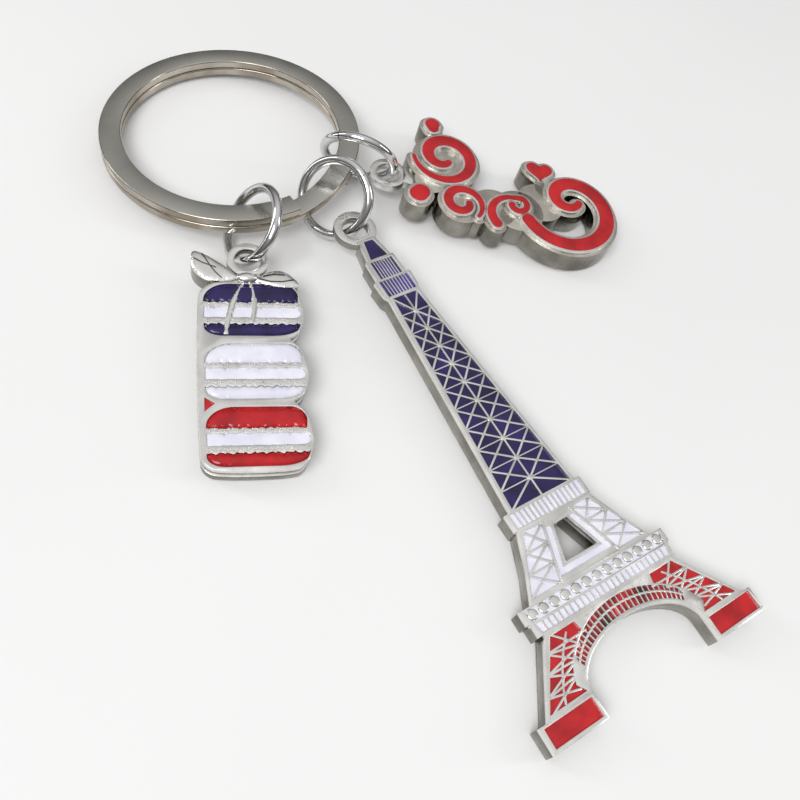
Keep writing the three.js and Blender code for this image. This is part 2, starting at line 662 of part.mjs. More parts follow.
// The outline of one macaron's metal, square on the left where the straight bar runs.
function macaronOutline(index) {
  const h = MACARON_HEIGHT;
  const half = MACARON_WIDTH / 2;
  const middle = -MACARON_TOP - h * (index + 0.5);
  const overlap = 0.05;
  const round = 2.4;
  const cornerTop = index === 0 ? 1.8 : 0;
  const cornerBase = index === STACK.length - 1 ? 1.8 : 0;
  const low = middle - h / 2 - overlap;
  const high = middle + h / 2 + overlap;
  const points = [
    ...arc(half - MACARON_BULGE, low + round, MACARON_BULGE, round, 270, 345, 5),
    ...arc(half - MACARON_BULGE, high - round, MACARON_BULGE, round, 15, 90, 5),
    [-half + cornerTop, high],
    [-half, high - cornerTop],
    [-half, low + cornerBase],
    [-half + cornerBase, low],
  ];
  return points.filter((p, i) => i === 0 || Math.hypot(p[0] - points[i - 1][0], p[1] - points[i - 1][1]) > 1e-6);
}

function macaronCharm() {
  const waist = (FACE - MACARON_GROOVE) / 2;
  const half = MACARON_WIDTH / 2;
  const layers = STACK.flatMap((_, i) => {
    const outline = macaronOutline(i);
    return [slab(outline, 0, waist), slab(outline, FACE - waist, FACE)];
  });
  const coreLeft = -half + MACARON_GROOVE;
  const coreRight = half - MACARON_BULGE - MACARON_GROOVE;
  const coreTop = -MACARON_TOP - MACARON_GROOVE - 0.8;
  const coreBase = -MACARON_TOP - 3 * MACARON_HEIGHT + MACARON_GROOVE + 0.8;
  const coreOutline = [[coreLeft, coreBase], [coreRight, coreBase], [coreRight, coreTop], [coreLeft, coreTop]];
  const core = slab(coreOutline, waist - 0.02, FACE - waist + 0.02);
  const neck = slab(trapezoid(1.3, -1.6, 1.5, -MACARON_TOP - 0.6), (FACE - EYE_THICKNESS) / 2, POCKET_FLOOR - FIT);
  let casting = join([...layers, core, neck, eyeBody(MACARON_EYE_DIAMETER), ...bow(0.4)]);
  const fills = [];
  const colours = [NAVY, WHITE, RED];
  STACK.forEach((place, i) => {
    const { shell, filling, base } = macaronFields(i);
    fills.push([place + "_shell", shell, colours[i]]);
    fills.push([place + "_filling", filling, WHITE]);
    fills.push([place + "_base", base, colours[i]]);
  });
  const corner = -MACARON_TOP - 2 * MACARON_HEIGHT;
  const beside = -half + MACARON_BAR - 0.1;
  fills.push(["gusset", [[beside, corner - 0.8], [beside + 1.1, corner], [beside, corner + 0.8]], RED]);
  for (const [, outline] of fills) casting = casting.subtract(slab(outline, POCKET_FLOOR, FACE + 1));
  casting = join([casting, ...bow(BAR_LOW), ...bowTails()]).subtract(eyeCutter(MACARON_EYE_HOLE_DIAMETER));
  const pieces = [meshOf("macaron_casting", casting, SILVER)];
  for (const [name, outline, finish] of fills) {
    pieces.push(meshOf("macaron_enamel_" + name, slab(inset(outline, FIT), ENAMEL_LOW, ENAMEL_HIGH), finish));
  }
  return pieces;
}

// ---------- Scroll charm: eye at X = Y = 0, scrollwork running out along +X ----------

// A stroke: points along its middle, each with its width, winding about a centre that may drift.
function coil({ centre, drift = [0, 0], radius, tighten = 1, turn, width, swell = 0, steps }) {
  return Array.from({ length: steps + 1 }, (_, i) => {
    const t = i / steps;
    const angle = rad(lerp(turn[0], turn[1], t));
    const r = lerp(radius[0], radius[1], t ** tighten);
    const x = centre[0] + drift[0] * t + r * Math.cos(angle);
    const y = centre[1] + drift[1] * t + r * Math.sin(angle);
    return [x, y, lerp(width[0], width[1], t) + swell * Math.sin(Math.PI * t)];
  });
}

function strokes() {
  const k = SCROLL_LENGTH / SCROLL_DRAWN_LENGTH;
  const all = {
    great_volute: coil({
      centre: [6.9, 3.3],
      radius: [4, 1],
      tighten: 1.5,
      turn: [-170, 300],
      width: [0.5, 0.9],
      swell: 0.9,
      steps: 16,
    }),
    bud: [[5.4, 8.6, 1.9], [5.5, 7.9, 1.4]],
    bead: [[3.6, -3.5, 2.3], [3.9, -3.1, 2.2]],
    middle_volute: coil({
      centre: [9, -3.7],
      radius: [2.7, 0.9],
      turn: [-40, 360],
      width: [0.5, 0.9],
      swell: 0.5,
      steps: 13,
    }),
    tendril: [
      ...coil({ centre: [15.4, -4.6], radius: [2.5, 3.1], turn: [215, 95], width: [1.3, 0.7], steps: 4 }),
      ...coil({ centre: [16.2, -2.5], radius: [1.3, 0.8], turn: [60, -170], width: [0.8, 0.9], steps: 6 }),
    ],
    end_volute: coil({
      centre: [23.3, -2.2],
      drift: [0.6, 2.6],
      radius: [6.3, 1],
      turn: [-158, 300],
      width: [1.7, 1],
      swell: 0.5,
      steps: 18,
    }),
  };
  for (const line of Object.values(all)) for (const point of line) point[0] *= k;
  return all;
}

function heart(x, y, size) {
  const steps = 18;
  return Array.from({ length: steps }, (_, i) => {
    const t = (-2 * Math.PI * (i + 0.5)) / steps;
    const v = 0.81 * Math.cos(t) - 0.31 * Math.cos(2 * t) - 0.13 * Math.cos(3 * t) - 0.06 * Math.cos(4 * t);
    return [x + size * Math.sin(t) ** 3, y + size * v];
  });
}

// The smallest convex outline round a set of points.
function hull(points) {
  const sorted = [...points].sort((a, b) => a[0] - b[0] || a[1] - b[1]);
  const half = (list) => {
    const chain = [];
    for (const p of list) {
      while (chain.length > 1) {
        const [a, b] = chain.slice(-2);
        if ((b[0] - a[0]) * (p[1] - a[1]) - (b[1] - a[1]) * (p[0] - a[0]) > 1e-9) break;
        chain.pop();
      }
      chain.push(p);
    }
    return chain.slice(0, -1);
  };
  return [...half(sorted), ...half(sorted.reverse())];
}

// A stroke as a solid, grown by a border on every side.
function ribbon(points, grow, z0, z1) {
  const dot = ([x, y, width]) => arc(x, y, width / 2 + grow, width / 2 + grow, 0, 360, STROKE_SIDES);
  const links = points.slice(1).map((p, i) => slab(hull([...dot(points[i]), ...dot(p)]), z0, z1));
  return join(links).simplify(MESH_TOLERANCE);
}

// A closed outline as a solid, grown by a border all round.
function grown(outline, grow, z0, z1) {
  const edge = [...outline, outline[0]].map(([x, y]) => [x, y, 0]);
  return slab(outline, z0, z1).add(ribbon(edge, grow, z0, z1));
}

function scrollCharm() {
  const k = SCROLL_LENGTH / SCROLL_DRAWN_LENGTH;
  const lines = Object.entries(strokes());
  const face = SCROLL_THICKNESS;
  const field = face - SCROLL_FIELD_DROP;
  const floor = field - ENAMEL_DEPTH / 2;
  const heartAt = [19.5 * k, 3.9, 1.7];
  const blobs = [[6.9, 3.3, 3.9], [9, -3.7, 2.8], [13.2, -3.2, 2.9], [16.4, -3, 3.2], [19.4, -1, 3], [5.2, -0.6, 2], [20.6, 1.6, 1.8]];
  const backing = blobs.map(([x, y, r]) => disc(x * k, y, r, 0, field, 28));
  const borders = lines.map(([, line]) => ribbon(line, SCROLL_BORDER, 0, face));
  borders.push(grown(heart(...heartAt), SCROLL_BORDER, 0, face));
  let casting = join([...backing, ...borders]);
  const fills = {};
  for (const [name, line] of lines) {
    casting = casting.subtract(ribbon(line, FIT, floor, face + 1));
    fills[name] = ribbon(line, 0, floor + FIT, field + ENAMEL_DEPTH);
  }
  casting = casting.subtract(grown(heart(...heartAt), FIT, floor, face + 1));
  fills.heart = slab(heart(...heartAt), floor + FIT, field + ENAMEL_DEPTH);
  const eye = eyeBody(SCROLL_EYE_DIAMETER, SCROLL_THICKNESS);
  casting = casting.subtract(disc(0, 0, SCROLL_EYE_DIAMETER / 2, -1, face + 1, 36));
  const neck = slab([[0, -1.6], [3.6, -1.6], [3.6, 1.6], [0, 1.6]], (face - EYE_THICKNESS) / 2, (face + EYE_THICKNESS) / 2);
  casting = join([casting, eye, neck]).subtract(eyeCutter(SCROLL_EYE_HOLE_DIAMETER));
  const pieces = [meshOf("scroll_casting", casting, SILVER)];
  for (const [name, body] of Object.entries(fills)) pieces.push(meshOf("scroll_enamel_" + name, body, RED));
  for (const piece of pieces) piece.geometry.rotateZ(-Math.PI / 2);
  return pieces;
}

// ---------- Assembly ----------

// Turns a charm so that it points along its heading, with its far end resting on the table.
function placeCharm(pieces, eye, { heading, length, thickness }) {
  const group = new THREE.Group();
  group.add(...pieces);
  const drop = Math.asin((eye.z - thickness / 2) / length);
  const level = new THREE.Vector3(Math.cos(rad(heading)), Math.sin(rad(heading)), 0);
  const down = level.multiplyScalar(Math.cos(drop)).setZ(-Math.sin(drop));
  const across = new THREE.Vector3(-Math.sin(rad(heading)), Math.cos(rad(heading)), 0);
  const upward = down.clone().negate();
  group.matrixAutoUpdate = false;
  group.matrix.makeBasis(across, upward, across.clone().cross(upward));
  const seat = new THREE.Vector3(0, 0, thickness / 2).applyMatrix4(group.matrix);
  group.matrix.setPosition(eye.clone().sub(seat));
  return group;
}

function assembly() {
  const whole = new THREE.Group();
  const low = rad(RING_LOW_SIDE_DEG);
  const ringGroup = new THREE.Group();
  const leanAxis = new THREE.Vector3(-Math.sin(low), Math.cos(low), 0);
  ringGroup.quaternion.setFromAxisAngle(leanAxis, Math.atan(RING_LEAN));
  ringGroup.position.z = (RING_LEAN * RING_OUTER_DIAMETER) / 2 + TABLE_GAP;
  ringGroup.updateMatrix();
  ringGroup.add(meshOf("split_ring", splitRing(), SILVER));
  whole.add(ringGroup);
  const pivots = { ring: [new THREE.Vector3(), new THREE.Vector3(0, 0, 1)] };

  const charms = {
    macaron: { pieces: macaronCharm(), length: MACARON_TOP + 3 * MACARON_HEIGHT, thickness: PLATE_THICKNESS, butt: 200 },
    tower: { pieces: towerCharm(), length: TOWER_LENGTH, thickness: PLATE_THICKNESS, butt: 60 },
    scroll: { pieces: scrollCharm(), length: SCROLL_LENGTH, thickness: SCROLL_THICKNESS, butt: 120 },
  };
  for (const [name, charm] of Object.entries(charms)) {
    const hang = hangPoint(CHARMS[name]);
    ringGroup.add(meshOf(name + "_jump_ring", jumpRing(hang, charm.butt), BRIGHT));
    const eye = hang.eye.clone().applyMatrix4(ringGroup.matrix);
    whole.add(placeCharm(charm.pieces, eye, { ...charm, heading: CHARMS[name].heading }));
    pivots[name] = [hang.centre, hang.axis];
  }

  whole.updateMatrixWorld(true);
  const box = new THREE.Box3().setFromObject(whole, true);
  const middle = box.getCenter(new THREE.Vector3());
  whole.position.set(-middle.x, -middle.y, -box.min.z);
  whole.updateMatrixWorld(true);
  for (const [name, [point, axis]] of Object.entries(pivots)) {
    const at = point.clone().applyMatrix4(ringGroup.matrixWorld);
    whole.userData[name] = { at: at.toArray(), axis: axis.clone().transformDirection(ringGroup.matrixWorld).toArray() };
  }
  return whole;
}

export default assembly();
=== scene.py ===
# %% [markdown]
# # A keychain with three enamelled charms
# The real object is a flat steel ring wound twice, three rings of round wire and three cast charms filled with
# coloured enamel. Every piece here is drawn flat, in millimetres, in its own frame, and then carried to its
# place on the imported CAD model, which says where each body sits and what it turns about.

# %% Load the frame
import json
import math
from math import cos, pi, radians, sin

import bmesh
import bpy
from mathutils import Matrix, Vector


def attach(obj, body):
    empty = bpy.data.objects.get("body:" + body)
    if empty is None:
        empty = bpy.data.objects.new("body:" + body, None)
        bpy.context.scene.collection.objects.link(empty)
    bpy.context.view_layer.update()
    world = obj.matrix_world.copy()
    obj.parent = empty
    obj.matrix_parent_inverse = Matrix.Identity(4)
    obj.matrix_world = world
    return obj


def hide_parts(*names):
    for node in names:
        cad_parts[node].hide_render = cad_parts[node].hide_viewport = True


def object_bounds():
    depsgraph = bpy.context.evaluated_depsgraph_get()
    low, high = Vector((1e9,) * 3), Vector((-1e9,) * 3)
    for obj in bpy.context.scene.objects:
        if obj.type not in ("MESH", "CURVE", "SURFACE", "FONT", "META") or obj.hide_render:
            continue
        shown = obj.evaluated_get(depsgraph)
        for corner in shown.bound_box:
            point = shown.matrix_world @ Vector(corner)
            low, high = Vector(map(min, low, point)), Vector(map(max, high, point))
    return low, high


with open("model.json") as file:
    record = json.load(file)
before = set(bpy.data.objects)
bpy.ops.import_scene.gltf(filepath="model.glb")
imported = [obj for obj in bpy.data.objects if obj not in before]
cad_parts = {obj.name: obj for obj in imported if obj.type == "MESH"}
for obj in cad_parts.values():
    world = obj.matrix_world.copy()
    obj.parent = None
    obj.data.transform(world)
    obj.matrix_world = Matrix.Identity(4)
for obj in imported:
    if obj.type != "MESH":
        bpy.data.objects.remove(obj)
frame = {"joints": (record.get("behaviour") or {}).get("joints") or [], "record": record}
cad_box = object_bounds()
joints = {joint["name"]: joint for joint in frame["joints"]}
mounts = {mount["name"]: mount for mount in frame["record"]["mounts"]}
MM = 0.001

# %% [markdown]
# ## Where each piece sits
# A ring's hinge gives its centre and its axis, and a charm's flat back gives the plane it lies in, so three
# unit vectors and an origin make a matrix that carries a flat drawing to its place. The ring leans a little,
# because the charms' side of it lies on the wire rings.

# %% Frames of the pieces
RING_LEAN = 0.088
RING_LOW_SIDE = radians(145)
TOWER_HEADING = radians(-57.4)
MACARON_HEADING = radians(-82)
SCROLL_HEADING = 0.0


def basis(x, y, z, origin):
    turn = Matrix((x, y, z)).transposed().to_4x4()
    return Matrix.Translation(origin) @ turn @ Matrix.Scale(MM, 4)


def charm_frame(mount_name, heading, mount_at):
    mount = mounts[mount_name]
    z = -Vector(mount["axis"]).normalized()
    x = Vector((-sin(heading), cos(heading), 0))
    y = z.cross(x)
    back = basis(x, y, z, (0, 0, 0))
    return Matrix.Translation(Vector(mount["pos_m"]) - back @ Vector(mount_at)) @ back


ring_centre = Vector(joints["tower_ring_travel"]["pos_m"])
ring_axis = Vector(joints["tower_ring_travel"]["axis"]).normalized()
lean_axis = Vector((-sin(RING_LOW_SIDE), cos(RING_LOW_SIDE), 0))
ring_frame = (
    Matrix.Translation(ring_centre) @ Matrix.Rotation(math.atan(RING_LEAN), 4, lean_axis) @ Matrix.Scale(MM, 4)
)
tower_frame = charm_frame("tower_back", TOWER_HEADING, (0, -30, 0))
macaron_frame = charm_frame("macaron_back", MACARON_HEADING, (0, -15, 0))
scroll_frame = charm_frame("scroll_back", SCROLL_HEADING, (-1, -16, 0)) @ Matrix.Rotation(-pi / 2, 4, "Z")


def wire_frame(charm):
    joint = joints[charm + "_charm_lift"]
    centre = Vector(joint["pos_m"])
    axis = Vector(joint["axis"]).normalized()
    outward = centre - ring_centre
    outward = (outward - axis * outward.dot(axis)).normalized()
    outward = (outward - ring_axis * outward.dot(ring_axis)).normalized()
    return basis(outward, axis.cross(outward), axis, centre)


print("ring centre, mm:", [round(v / MM, 2) for v in ring_centre])

# %% [markdown]
# ## Plated metal
# Nickel plating is a mirror with fine grain, so it takes a metallic shader whose roughness wanders, a faint
# stain in the colour and a very shallow bump. A picture of metal could be wrapped on instead, but noise read
# from the object's own coordinates needs no picture and never shows a seam.


# %% Metal finish
def tint(colour):
    return (*colour, 1.0)


def node_tree(name):
    made = bpy.data.materials.new(name)
    made.use_nodes = True
    tree = made.node_tree
    tree.nodes.clear()
    shader = tree.nodes.new("ShaderNodeBsdfPrincipled")
    output = tree.nodes.new("ShaderNodeOutputMaterial")
    tree.links.new(shader.outputs["BSDF"], output.inputs["Surface"])
    place = tree.nodes.new("ShaderNodeTexCoord")
    return made, tree, shader, place.outputs["Object"]


def noise(tree, place, size_mm, detail=3.0, stretch=None):
    if stretch:
        mapping = tree.nodes.new("ShaderNodeMapping")
        mapping.inputs["Scale"].default_value = stretch
        tree.links.new(place, mapping.inputs["Vector"])
        place = mapping.outputs["Vector"]
    node = tree.nodes.new("ShaderNodeTexNoise")
    node.inputs["Scale"].default_value = 1 / (size_mm * MM)
    node.inputs["Detail"].default_value = detail
    tree.links.new(place, node.inputs["Vector"])
    return node.outputs["Fac"]


def ramp(tree, value, low, high, start=0.35, end=0.65):
    node = tree.nodes.new("ShaderNodeMapRange")
    node.inputs["From Min"].default_value = start
    node.inputs["From Max"].default_value = end
    node.inputs["To Min"].default_value = low
    node.inputs["To Max"].default_value = high
    tree.links.new(value, node.inputs["Value"])
    return node.outputs["Result"]


def blend(tree, factor, first, second):
    node = tree.nodes.new("ShaderNodeMix")
    node.data_type = "RGBA"
    node.inputs["A"].default_value = tint(first)
    node.inputs["B"].default_value = tint(second)
    tree.links.new(factor, node.inputs["Factor"])
    return node.outputs["Result"]


def bump(tree, shader, height, depth_mm, strength=1.0):
    node = tree.nodes.new("ShaderNodeBump")
    node.inputs["Distance"].default_value = depth_mm * MM
    node.inputs["Strength"].default_value = strength
    tree.links.new(height, node.inputs["Height"])
    tree.links.new(node.outputs["Normal"], shader.inputs["Normal"])


def plated(name, light, dark, rough, grain_mm, grain_depth, stain_mm=2.5):
    made, tree, shader, place = node_tree(name)
    shader.inputs["Metallic"].default_value = 1.0
    stain = ramp(tree, noise(tree, place, stain_mm, 5), 0, 1)
    tree.links.new(blend(tree, stain, dark, light), shader.inputs["Base Color"])
    wander = noise(tree, place, stain_mm * 0.35, 6)
    tree.links.new(ramp(tree, wander, *rough), shader.inputs["Roughness"])
    bump(tree, shader, noise(tree, place, grain_mm, 4), grain_depth)
    return made


ring_face = plated("ring face satin", (0.55, 0.54, 0.5), (0.46, 0.45, 0.41), (0.2, 0.34), 0.12, 0.003, 9.0)
# The strip's sides are the same steel as its faces. Their browner, darker colour is a painted dark reflection;
# the lower roughness is the polished edge, and the two tones mix at random.
ring_edge_painted_reflection = plated("ring edge, polished, painted brownish reflection", (0.56, 0.51, 0.44), (0.3, 0.26, 0.21), (0.07, 0.18), 0.3, 0.002, 5.0)
wire_metal = plated("bright wire", (0.74, 0.74, 0.75), (0.6, 0.6, 0.61), (0.05, 0.16), 0.35, 0.004)
cast_metal = plated("cast nickel", (0.88, 0.875, 0.85), (0.72, 0.71, 0.68), (0.2, 0.38), 0.16, 0.003)
# The walls are the same nickel plating as the faces; their dark brownish-grey colour is a painted dark reflection
# of the surroundings.
wall_painted_reflection = plated("cast wall, painted dark reflection", (0.36, 0.345, 0.31), (0.17, 0.16, 0.14), (0.12, 0.3), 0.3, 0.004, 4.0)
sand_metal = plated("sandy field", (0.66, 0.63, 0.56), (0.5, 0.47, 0.41), (0.34, 0.55), 0.1, 0.02)
# An engraved cut is dark from the shade inside its groove; this near-black colour paints that shade.
groove_painted_shade = plated("engraved line, painted shade", (0.16, 0.15, 0.13), (0.08, 0.07, 0.06), (0.4, 0.6), 0.1, 0.004)

# %% [markdown]
# ## Enamel
# Soft enamel is a coloured resin that is poured into cells. It is glossy, it sinks a little at the rims, and its
# tone shifts where it is thin. A coat over the base gives the hard highlight; a slow noise gives the tone.


# %% Enamel finish
def enamel(name, colour, deep, ripple_mm=1.4, ripple_depth=0.02):
    made, tree, shader, place = node_tree(name)
    tone = ramp(tree, noise(tree, place, 2.2, 3), 0, 1)
    tree.links.new(blend(tree, tone, deep, colour), shader.inputs["Base Color"])
    tree.links.new(ramp(tree, noise(tree, place, 0.8, 4), 0.1, 0.24), shader.inputs["Roughness"])
    shader.inputs["Coat Weight"].default_value = 0.3
    shader.inputs["Coat Roughness"].default_value = 0.05
    shader.inputs["Specular IOR Level"].default_value = 0.3
    bump(tree, shader, noise(tree, place, ripple_mm, 2), ripple_depth)
    return made


navy = enamel("navy enamel", (0.022, 0.013, 0.11), (0.009, 0.005, 0.045))
violet = enamel("violet enamel", (0.09, 0.06, 0.36), (0.02, 0.012, 0.1))
red = enamel("red enamel", (0.56, 0.012, 0.016), (0.36, 0.006, 0.01))
# Red mixed at random with near-black blotches.
dark_red = enamel("red enamel blotched near-black", (0.5, 0.01, 0.014), (0.03, 0.012, 0.01))
white = enamel("white enamel", (0.84, 0.84, 0.93), (0.74, 0.74, 0.86))

# %% [markdown]
# ## Shaping helpers
# A cast plate is its outline given a thickness and a soft edge. A flat curve does that with holes and all, and
# it is made a mesh at once. Ridges are cubes laid end to end, and their edges are bevelled in one pass.


# %% Plates and ridges
EDGE_SEGMENTS = 2
SHARP = radians(40)
WELD = 1e-4
LEVEL_TOLERANCE = 1e-5


def settle(name, mesh, place, body, materials, replaces=()):
    mesh.transform(place)
    for material in materials:
        mesh.materials.append(material)
    mesh.shade_smooth()
    mesh.set_sharp_from_angle(angle=SHARP)
    mesh.name = name
    piece = bpy.data.objects.new(name, mesh)
    bpy.context.scene.collection.objects.link(piece)
    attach(piece, body)
    if replaces:
        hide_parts(*replaces)
    print(name, len(mesh.polygons), "faces")
    return piece


def to_mesh(name, shape):
    mesh = bpy.data.meshes.new(name)
    shape.to_mesh(mesh)
    shape.free()
    return mesh


def sheet(loops, low, high, edge):
    flat = bpy.data.curves.new("flat", "CURVE")
    flat.dimensions = "2D"
    flat.fill_mode = "BOTH"
    flat.extrude = (high - low) / 2 - edge
    flat.bevel_depth = edge
    flat.bevel_resolution = EDGE_SEGMENTS - 1
    flat.offset = -edge
    for loop in loops:
        line = flat.splines.new("POLY")
        line.points.add(len(loop) - 1)
        for point, (x, y) in zip(line.points, loop):
            point.co = (x, y, 0, 1)
        line.use_cyclic_u = True
    holder = bpy.data.objects.new("flat", flat)
    bpy.context.scene.collection.objects.link(holder)
    evaluated = holder.evaluated_get(bpy.context.evaluated_depsgraph_get())
    mesh = bpy.data.meshes.new_from_object(evaluated)
    bpy.data.objects.remove(holder)
    bpy.data.curves.remove(flat)
    mesh.transform(Matrix.Translation((0, 0, (low + high) / 2)))
    shape = bmesh.new()
    shape.from_mesh(mesh)
    bpy.data.meshes.remove(mesh)
    bmesh.ops.remove_doubles(shape, verts=shape.verts, dist=WELD)
    bmesh.ops.recalc_face_normals(shape, faces=shape.faces)
    return shape


def merge(shapes):
    whole = bmesh.new()
    for shape in shapes:
        part = bpy.data.meshes.new("part")
        shape.to_mesh(part)
        shape.free()
        whole.from_mesh(part)
        bpy.data.meshes.remove(part)
    return whole


def ridges(lines, width, low, high, edge):
    shape = bmesh.new()
    for (x0, y0), (x1, y1) in lines:
        run = Vector((x1 - x0, y1 - y0, 0))
        middle = Vector(((x0 + x1) / 2, (y0 + y1) / 2, (low + high) / 2))
        turn = Matrix.Rotation(math.atan2(run.y, run.x), 4, "Z")
        size = Matrix.Diagonal((run.length, width, high - low, 1))
        bmesh.ops.create_cube(shape, size=1, matrix=Matrix.Translation(middle) @ turn @ size)
    tops = [e for e in shape.edges if all(v.co.z > high - LEVEL_TOLERANCE for v in e.verts)]
    bmesh.ops.bevel(shape, geom=tops, offset=edge, segments=2, affect="EDGES", profile=0.5, material=-1)
    return shape


def disc(x, y, radius, low, high, edge, sides=32):
    shape = bmesh.new()
    middle = Matrix.Translation((x, y, (low + high) / 2))
    bmesh.ops.create_cone(
        shape, segments=sides, radius1=radius, radius2=radius, depth=high - low, cap_ends=True, matrix=middle
    )
    tops = [e for e in shape.edges if all(v.co.z > high - LEVEL_TOLERANCE for v in e.verts)]
    bmesh.ops.bevel(shape, geom=tops, offset=edge, segments=3, affect="EDGES", profile=0.5, material=-1)
    return shape


def mix(a, b, t):
    return a + (b - a) * t


def arc(x, y, rx, ry, start, end, steps):
    whole_turn = abs(end - start) == 360
    angles = [radians(mix(start, end, i / steps)) for i in range(steps + (0 if whole_turn else 1))]
    return [(x + rx * cos(a), y + ry * sin(a)) for a in angles]


def round_eye(outer, inner, low, high, edge):
    loops = [arc(0, 0, outer, outer, 0, 360, 64), arc(0, 0, inner, inner, 0, 360, 48)]
    return sheet(loops, low, high, edge)


def edge_distance(px, py, outline):
    nearest = 1e9
    for (ax, ay), (bx, by) in zip(outline, outline[1:] + outline[:1]):
        run_x, run_y = bx - ax, by - ay
        share = ((px - ax) * run_x + (py - ay) * run_y) / max(run_x * run_x + run_y * run_y, 1e-12)
        share = min(max(share, 0), 1)
        nearest = min(nearest, math.hypot(px - ax - share * run_x, py - ay - share * run_y))
    return nearest


def pillow(outline, low, wall, rise, shoulder, pitch=0.3):
    """An enamel fill: a wall up from low, then a dome that reaches its rise a shoulder in from the edge."""
    shape = bmesh.new()
    face = shape.faces.new([shape.verts.new((px, py, low + wall)) for px, py in outline])
    face.normal_update()
    if face.normal.z < 0:
        bmesh.ops.reverse_faces(shape, faces=[face])
    bmesh.ops.triangulate(shape, faces=list(shape.faces), quad_method="BEAUTY", ngon_method="BEAUTY")
    for side in (0, 1):
        spread = [point[side] for point in outline]
        along = Vector((1 - side, side, 0))
        for i in range(1, int((max(spread) - min(spread)) / pitch)):
            cut = along * (min(spread) + i * pitch)
            everything = list(shape.verts) + list(shape.edges) + list(shape.faces)
            bmesh.ops.bisect_plane(shape, geom=everything, dist=LEVEL_TOLERANCE, plane_co=cut, plane_no=along)
    for vert in shape.verts:
        inward = min(edge_distance(vert.co.x, vert.co.y, outline) / shoulder, 1)
        vert.co.z += rise * math.sqrt(1 - (1 - inward) ** 2)
    rim = [edge for edge in shape.edges if edge.is_boundary]
    dropped = bmesh.ops.extrude_edge_only(shape, edges=rim)["geom"]
    for vert in {g for g in dropped if isinstance(g, bmesh.types.BMVert)}:
        vert.co.z = low
    bottom = [g for g in dropped if isinstance(g, bmesh.types.BMEdge) and g.is_boundary]
    bmesh.ops.contextual_create(shape, geom=bottom)
    bmesh.ops.recalc_face_normals(shape, faces=shape.faces)
    return shape


# %% [markdown]
# ## The split ring
# Spring steel strip is wound into two turns that lie face to face, so a key has to be threaded between them. A
# rounded strip section spun in three legs gives it: a level turn, a short climb, and a level turn on top.

# %% Split ring
RING_OUTER = 15.0
STRIP_WIDTH = 2.45
STRIP_THICK = 0.95
STRIP_CORNER = 0.16
TURN_RISE = 1.05
CLIMB_FROM = -54
CLIMB_SWEEP = 32
STEP_DEGREES = 2

strip = bmesh.new()
start = radians(CLIMB_FROM + CLIMB_SWEEP)
ring_inner = RING_OUTER - STRIP_WIDTH
corners = [(ring_inner, 0), (RING_OUTER, 0), (RING_OUTER, STRIP_THICK), (ring_inner, STRIP_THICK)]
strip.faces.new([strip.verts.new((r * cos(start), r * sin(start), h)) for r, h in corners])
bmesh.ops.bevel(
    strip, geom=list(strip.verts), offset=STRIP_CORNER, segments=3, affect="VERTICES", profile=0.5, material=-1
)
moving = list(strip.faces)
for sweep, rise in ((360 - CLIMB_SWEEP, 0), (CLIMB_SWEEP, TURN_RISE), (360 - CLIMB_SWEEP, 0)):
    steps = sweep // STEP_DEGREES
    spun = bmesh.ops.spin(
        strip, geom=moving, cent=(0, 0, 0), axis=(0, 0, 1), dvec=(0, 0, rise / steps),
        angle=radians(sweep), steps=steps
    )
    moving = [g for g in spun["geom_last"] if isinstance(g, bmesh.types.BMFace)]
bmesh.ops.recalc_face_normals(strip, faces=strip.faces)
# Flat faces take the satin steel; side faces take the painted brownish reflection.
for face in strip.faces:
    face.material_index = 0 if abs(face.normal.z) > 0.9 else 1
open_edges = sum(1 for e in strip.edges if not e.is_manifold)
print("split ring open edges:", open_edges)
settle("split_ring_strip", to_mesh("split_ring", strip), ring_frame, "split_ring", (ring_face, ring_edge_painted_reflection),
       ("split_ring",))

# %% [markdown]
# ## The wire rings
# Each charm hangs on a ring of round wire whose ends meet in a butt joint. A round section spun almost the whole
# way leaves that joint as a hair line, with both ends capped.

# %% Jump rings
WIRE_RADIUS = 0.55
WIRE_TURN = 4.2
BUTT_GAP = 0.1
WIRE_SIDES = 24
WIRE_STEPS = 96
BUTT_AT = {"macaron": 200, "tower": 60, "scroll": 120}

for charm, butt in BUTT_AT.items():
    wire = bmesh.new()
    gap = BUTT_GAP / WIRE_TURN
    stand = Matrix.Rotation(radians(butt) + gap / 2, 4, "Z") @ Matrix.Translation((WIRE_TURN, 0, 0))
    stand = stand @ Matrix.Rotation(pi / 2, 4, "X")
    bmesh.ops.create_circle(wire, segments=WIRE_SIDES, radius=WIRE_RADIUS, cap_ends=True, matrix=stand)
    bmesh.ops.spin(
        wire, geom=list(wire.faces), cent=(0, 0, 0), axis=(0, 0, 1), angle=2 * pi - gap, steps=WIRE_STEPS
    )
    bmesh.ops.recalc_face_normals(wire, faces=wire.faces)
    settle(charm + "_wire_ring", to_mesh("wire", wire), wire_frame(charm), charm + "_jump_ring", (wire_metal,),
           (charm + "_jump_ring",))

# %% [markdown]
# ## The tower charm
# The tower is one casting: a flat plate, a raised rim round every colour, and fine ridges that part the enamel
# into cells. Its outline is drawn from its own levels and half widths, so the rim, the fills and the ridges all
# follow the same lines. Carving cells out of a block would give the same look with far more work.

# %% Tower sizes
PLATE = 2.5
POCKET = 1.9
FILL_TOP = 2.3
EYE_LOW, EYE_HIGH = 0.75, 1.75
EDGE = 0.07
RIM = 0.4
SEAM = 0.15
RIDGE = 0.24
WINDOW_FRAME = 0.35
WINDOW_BAND = 0.65

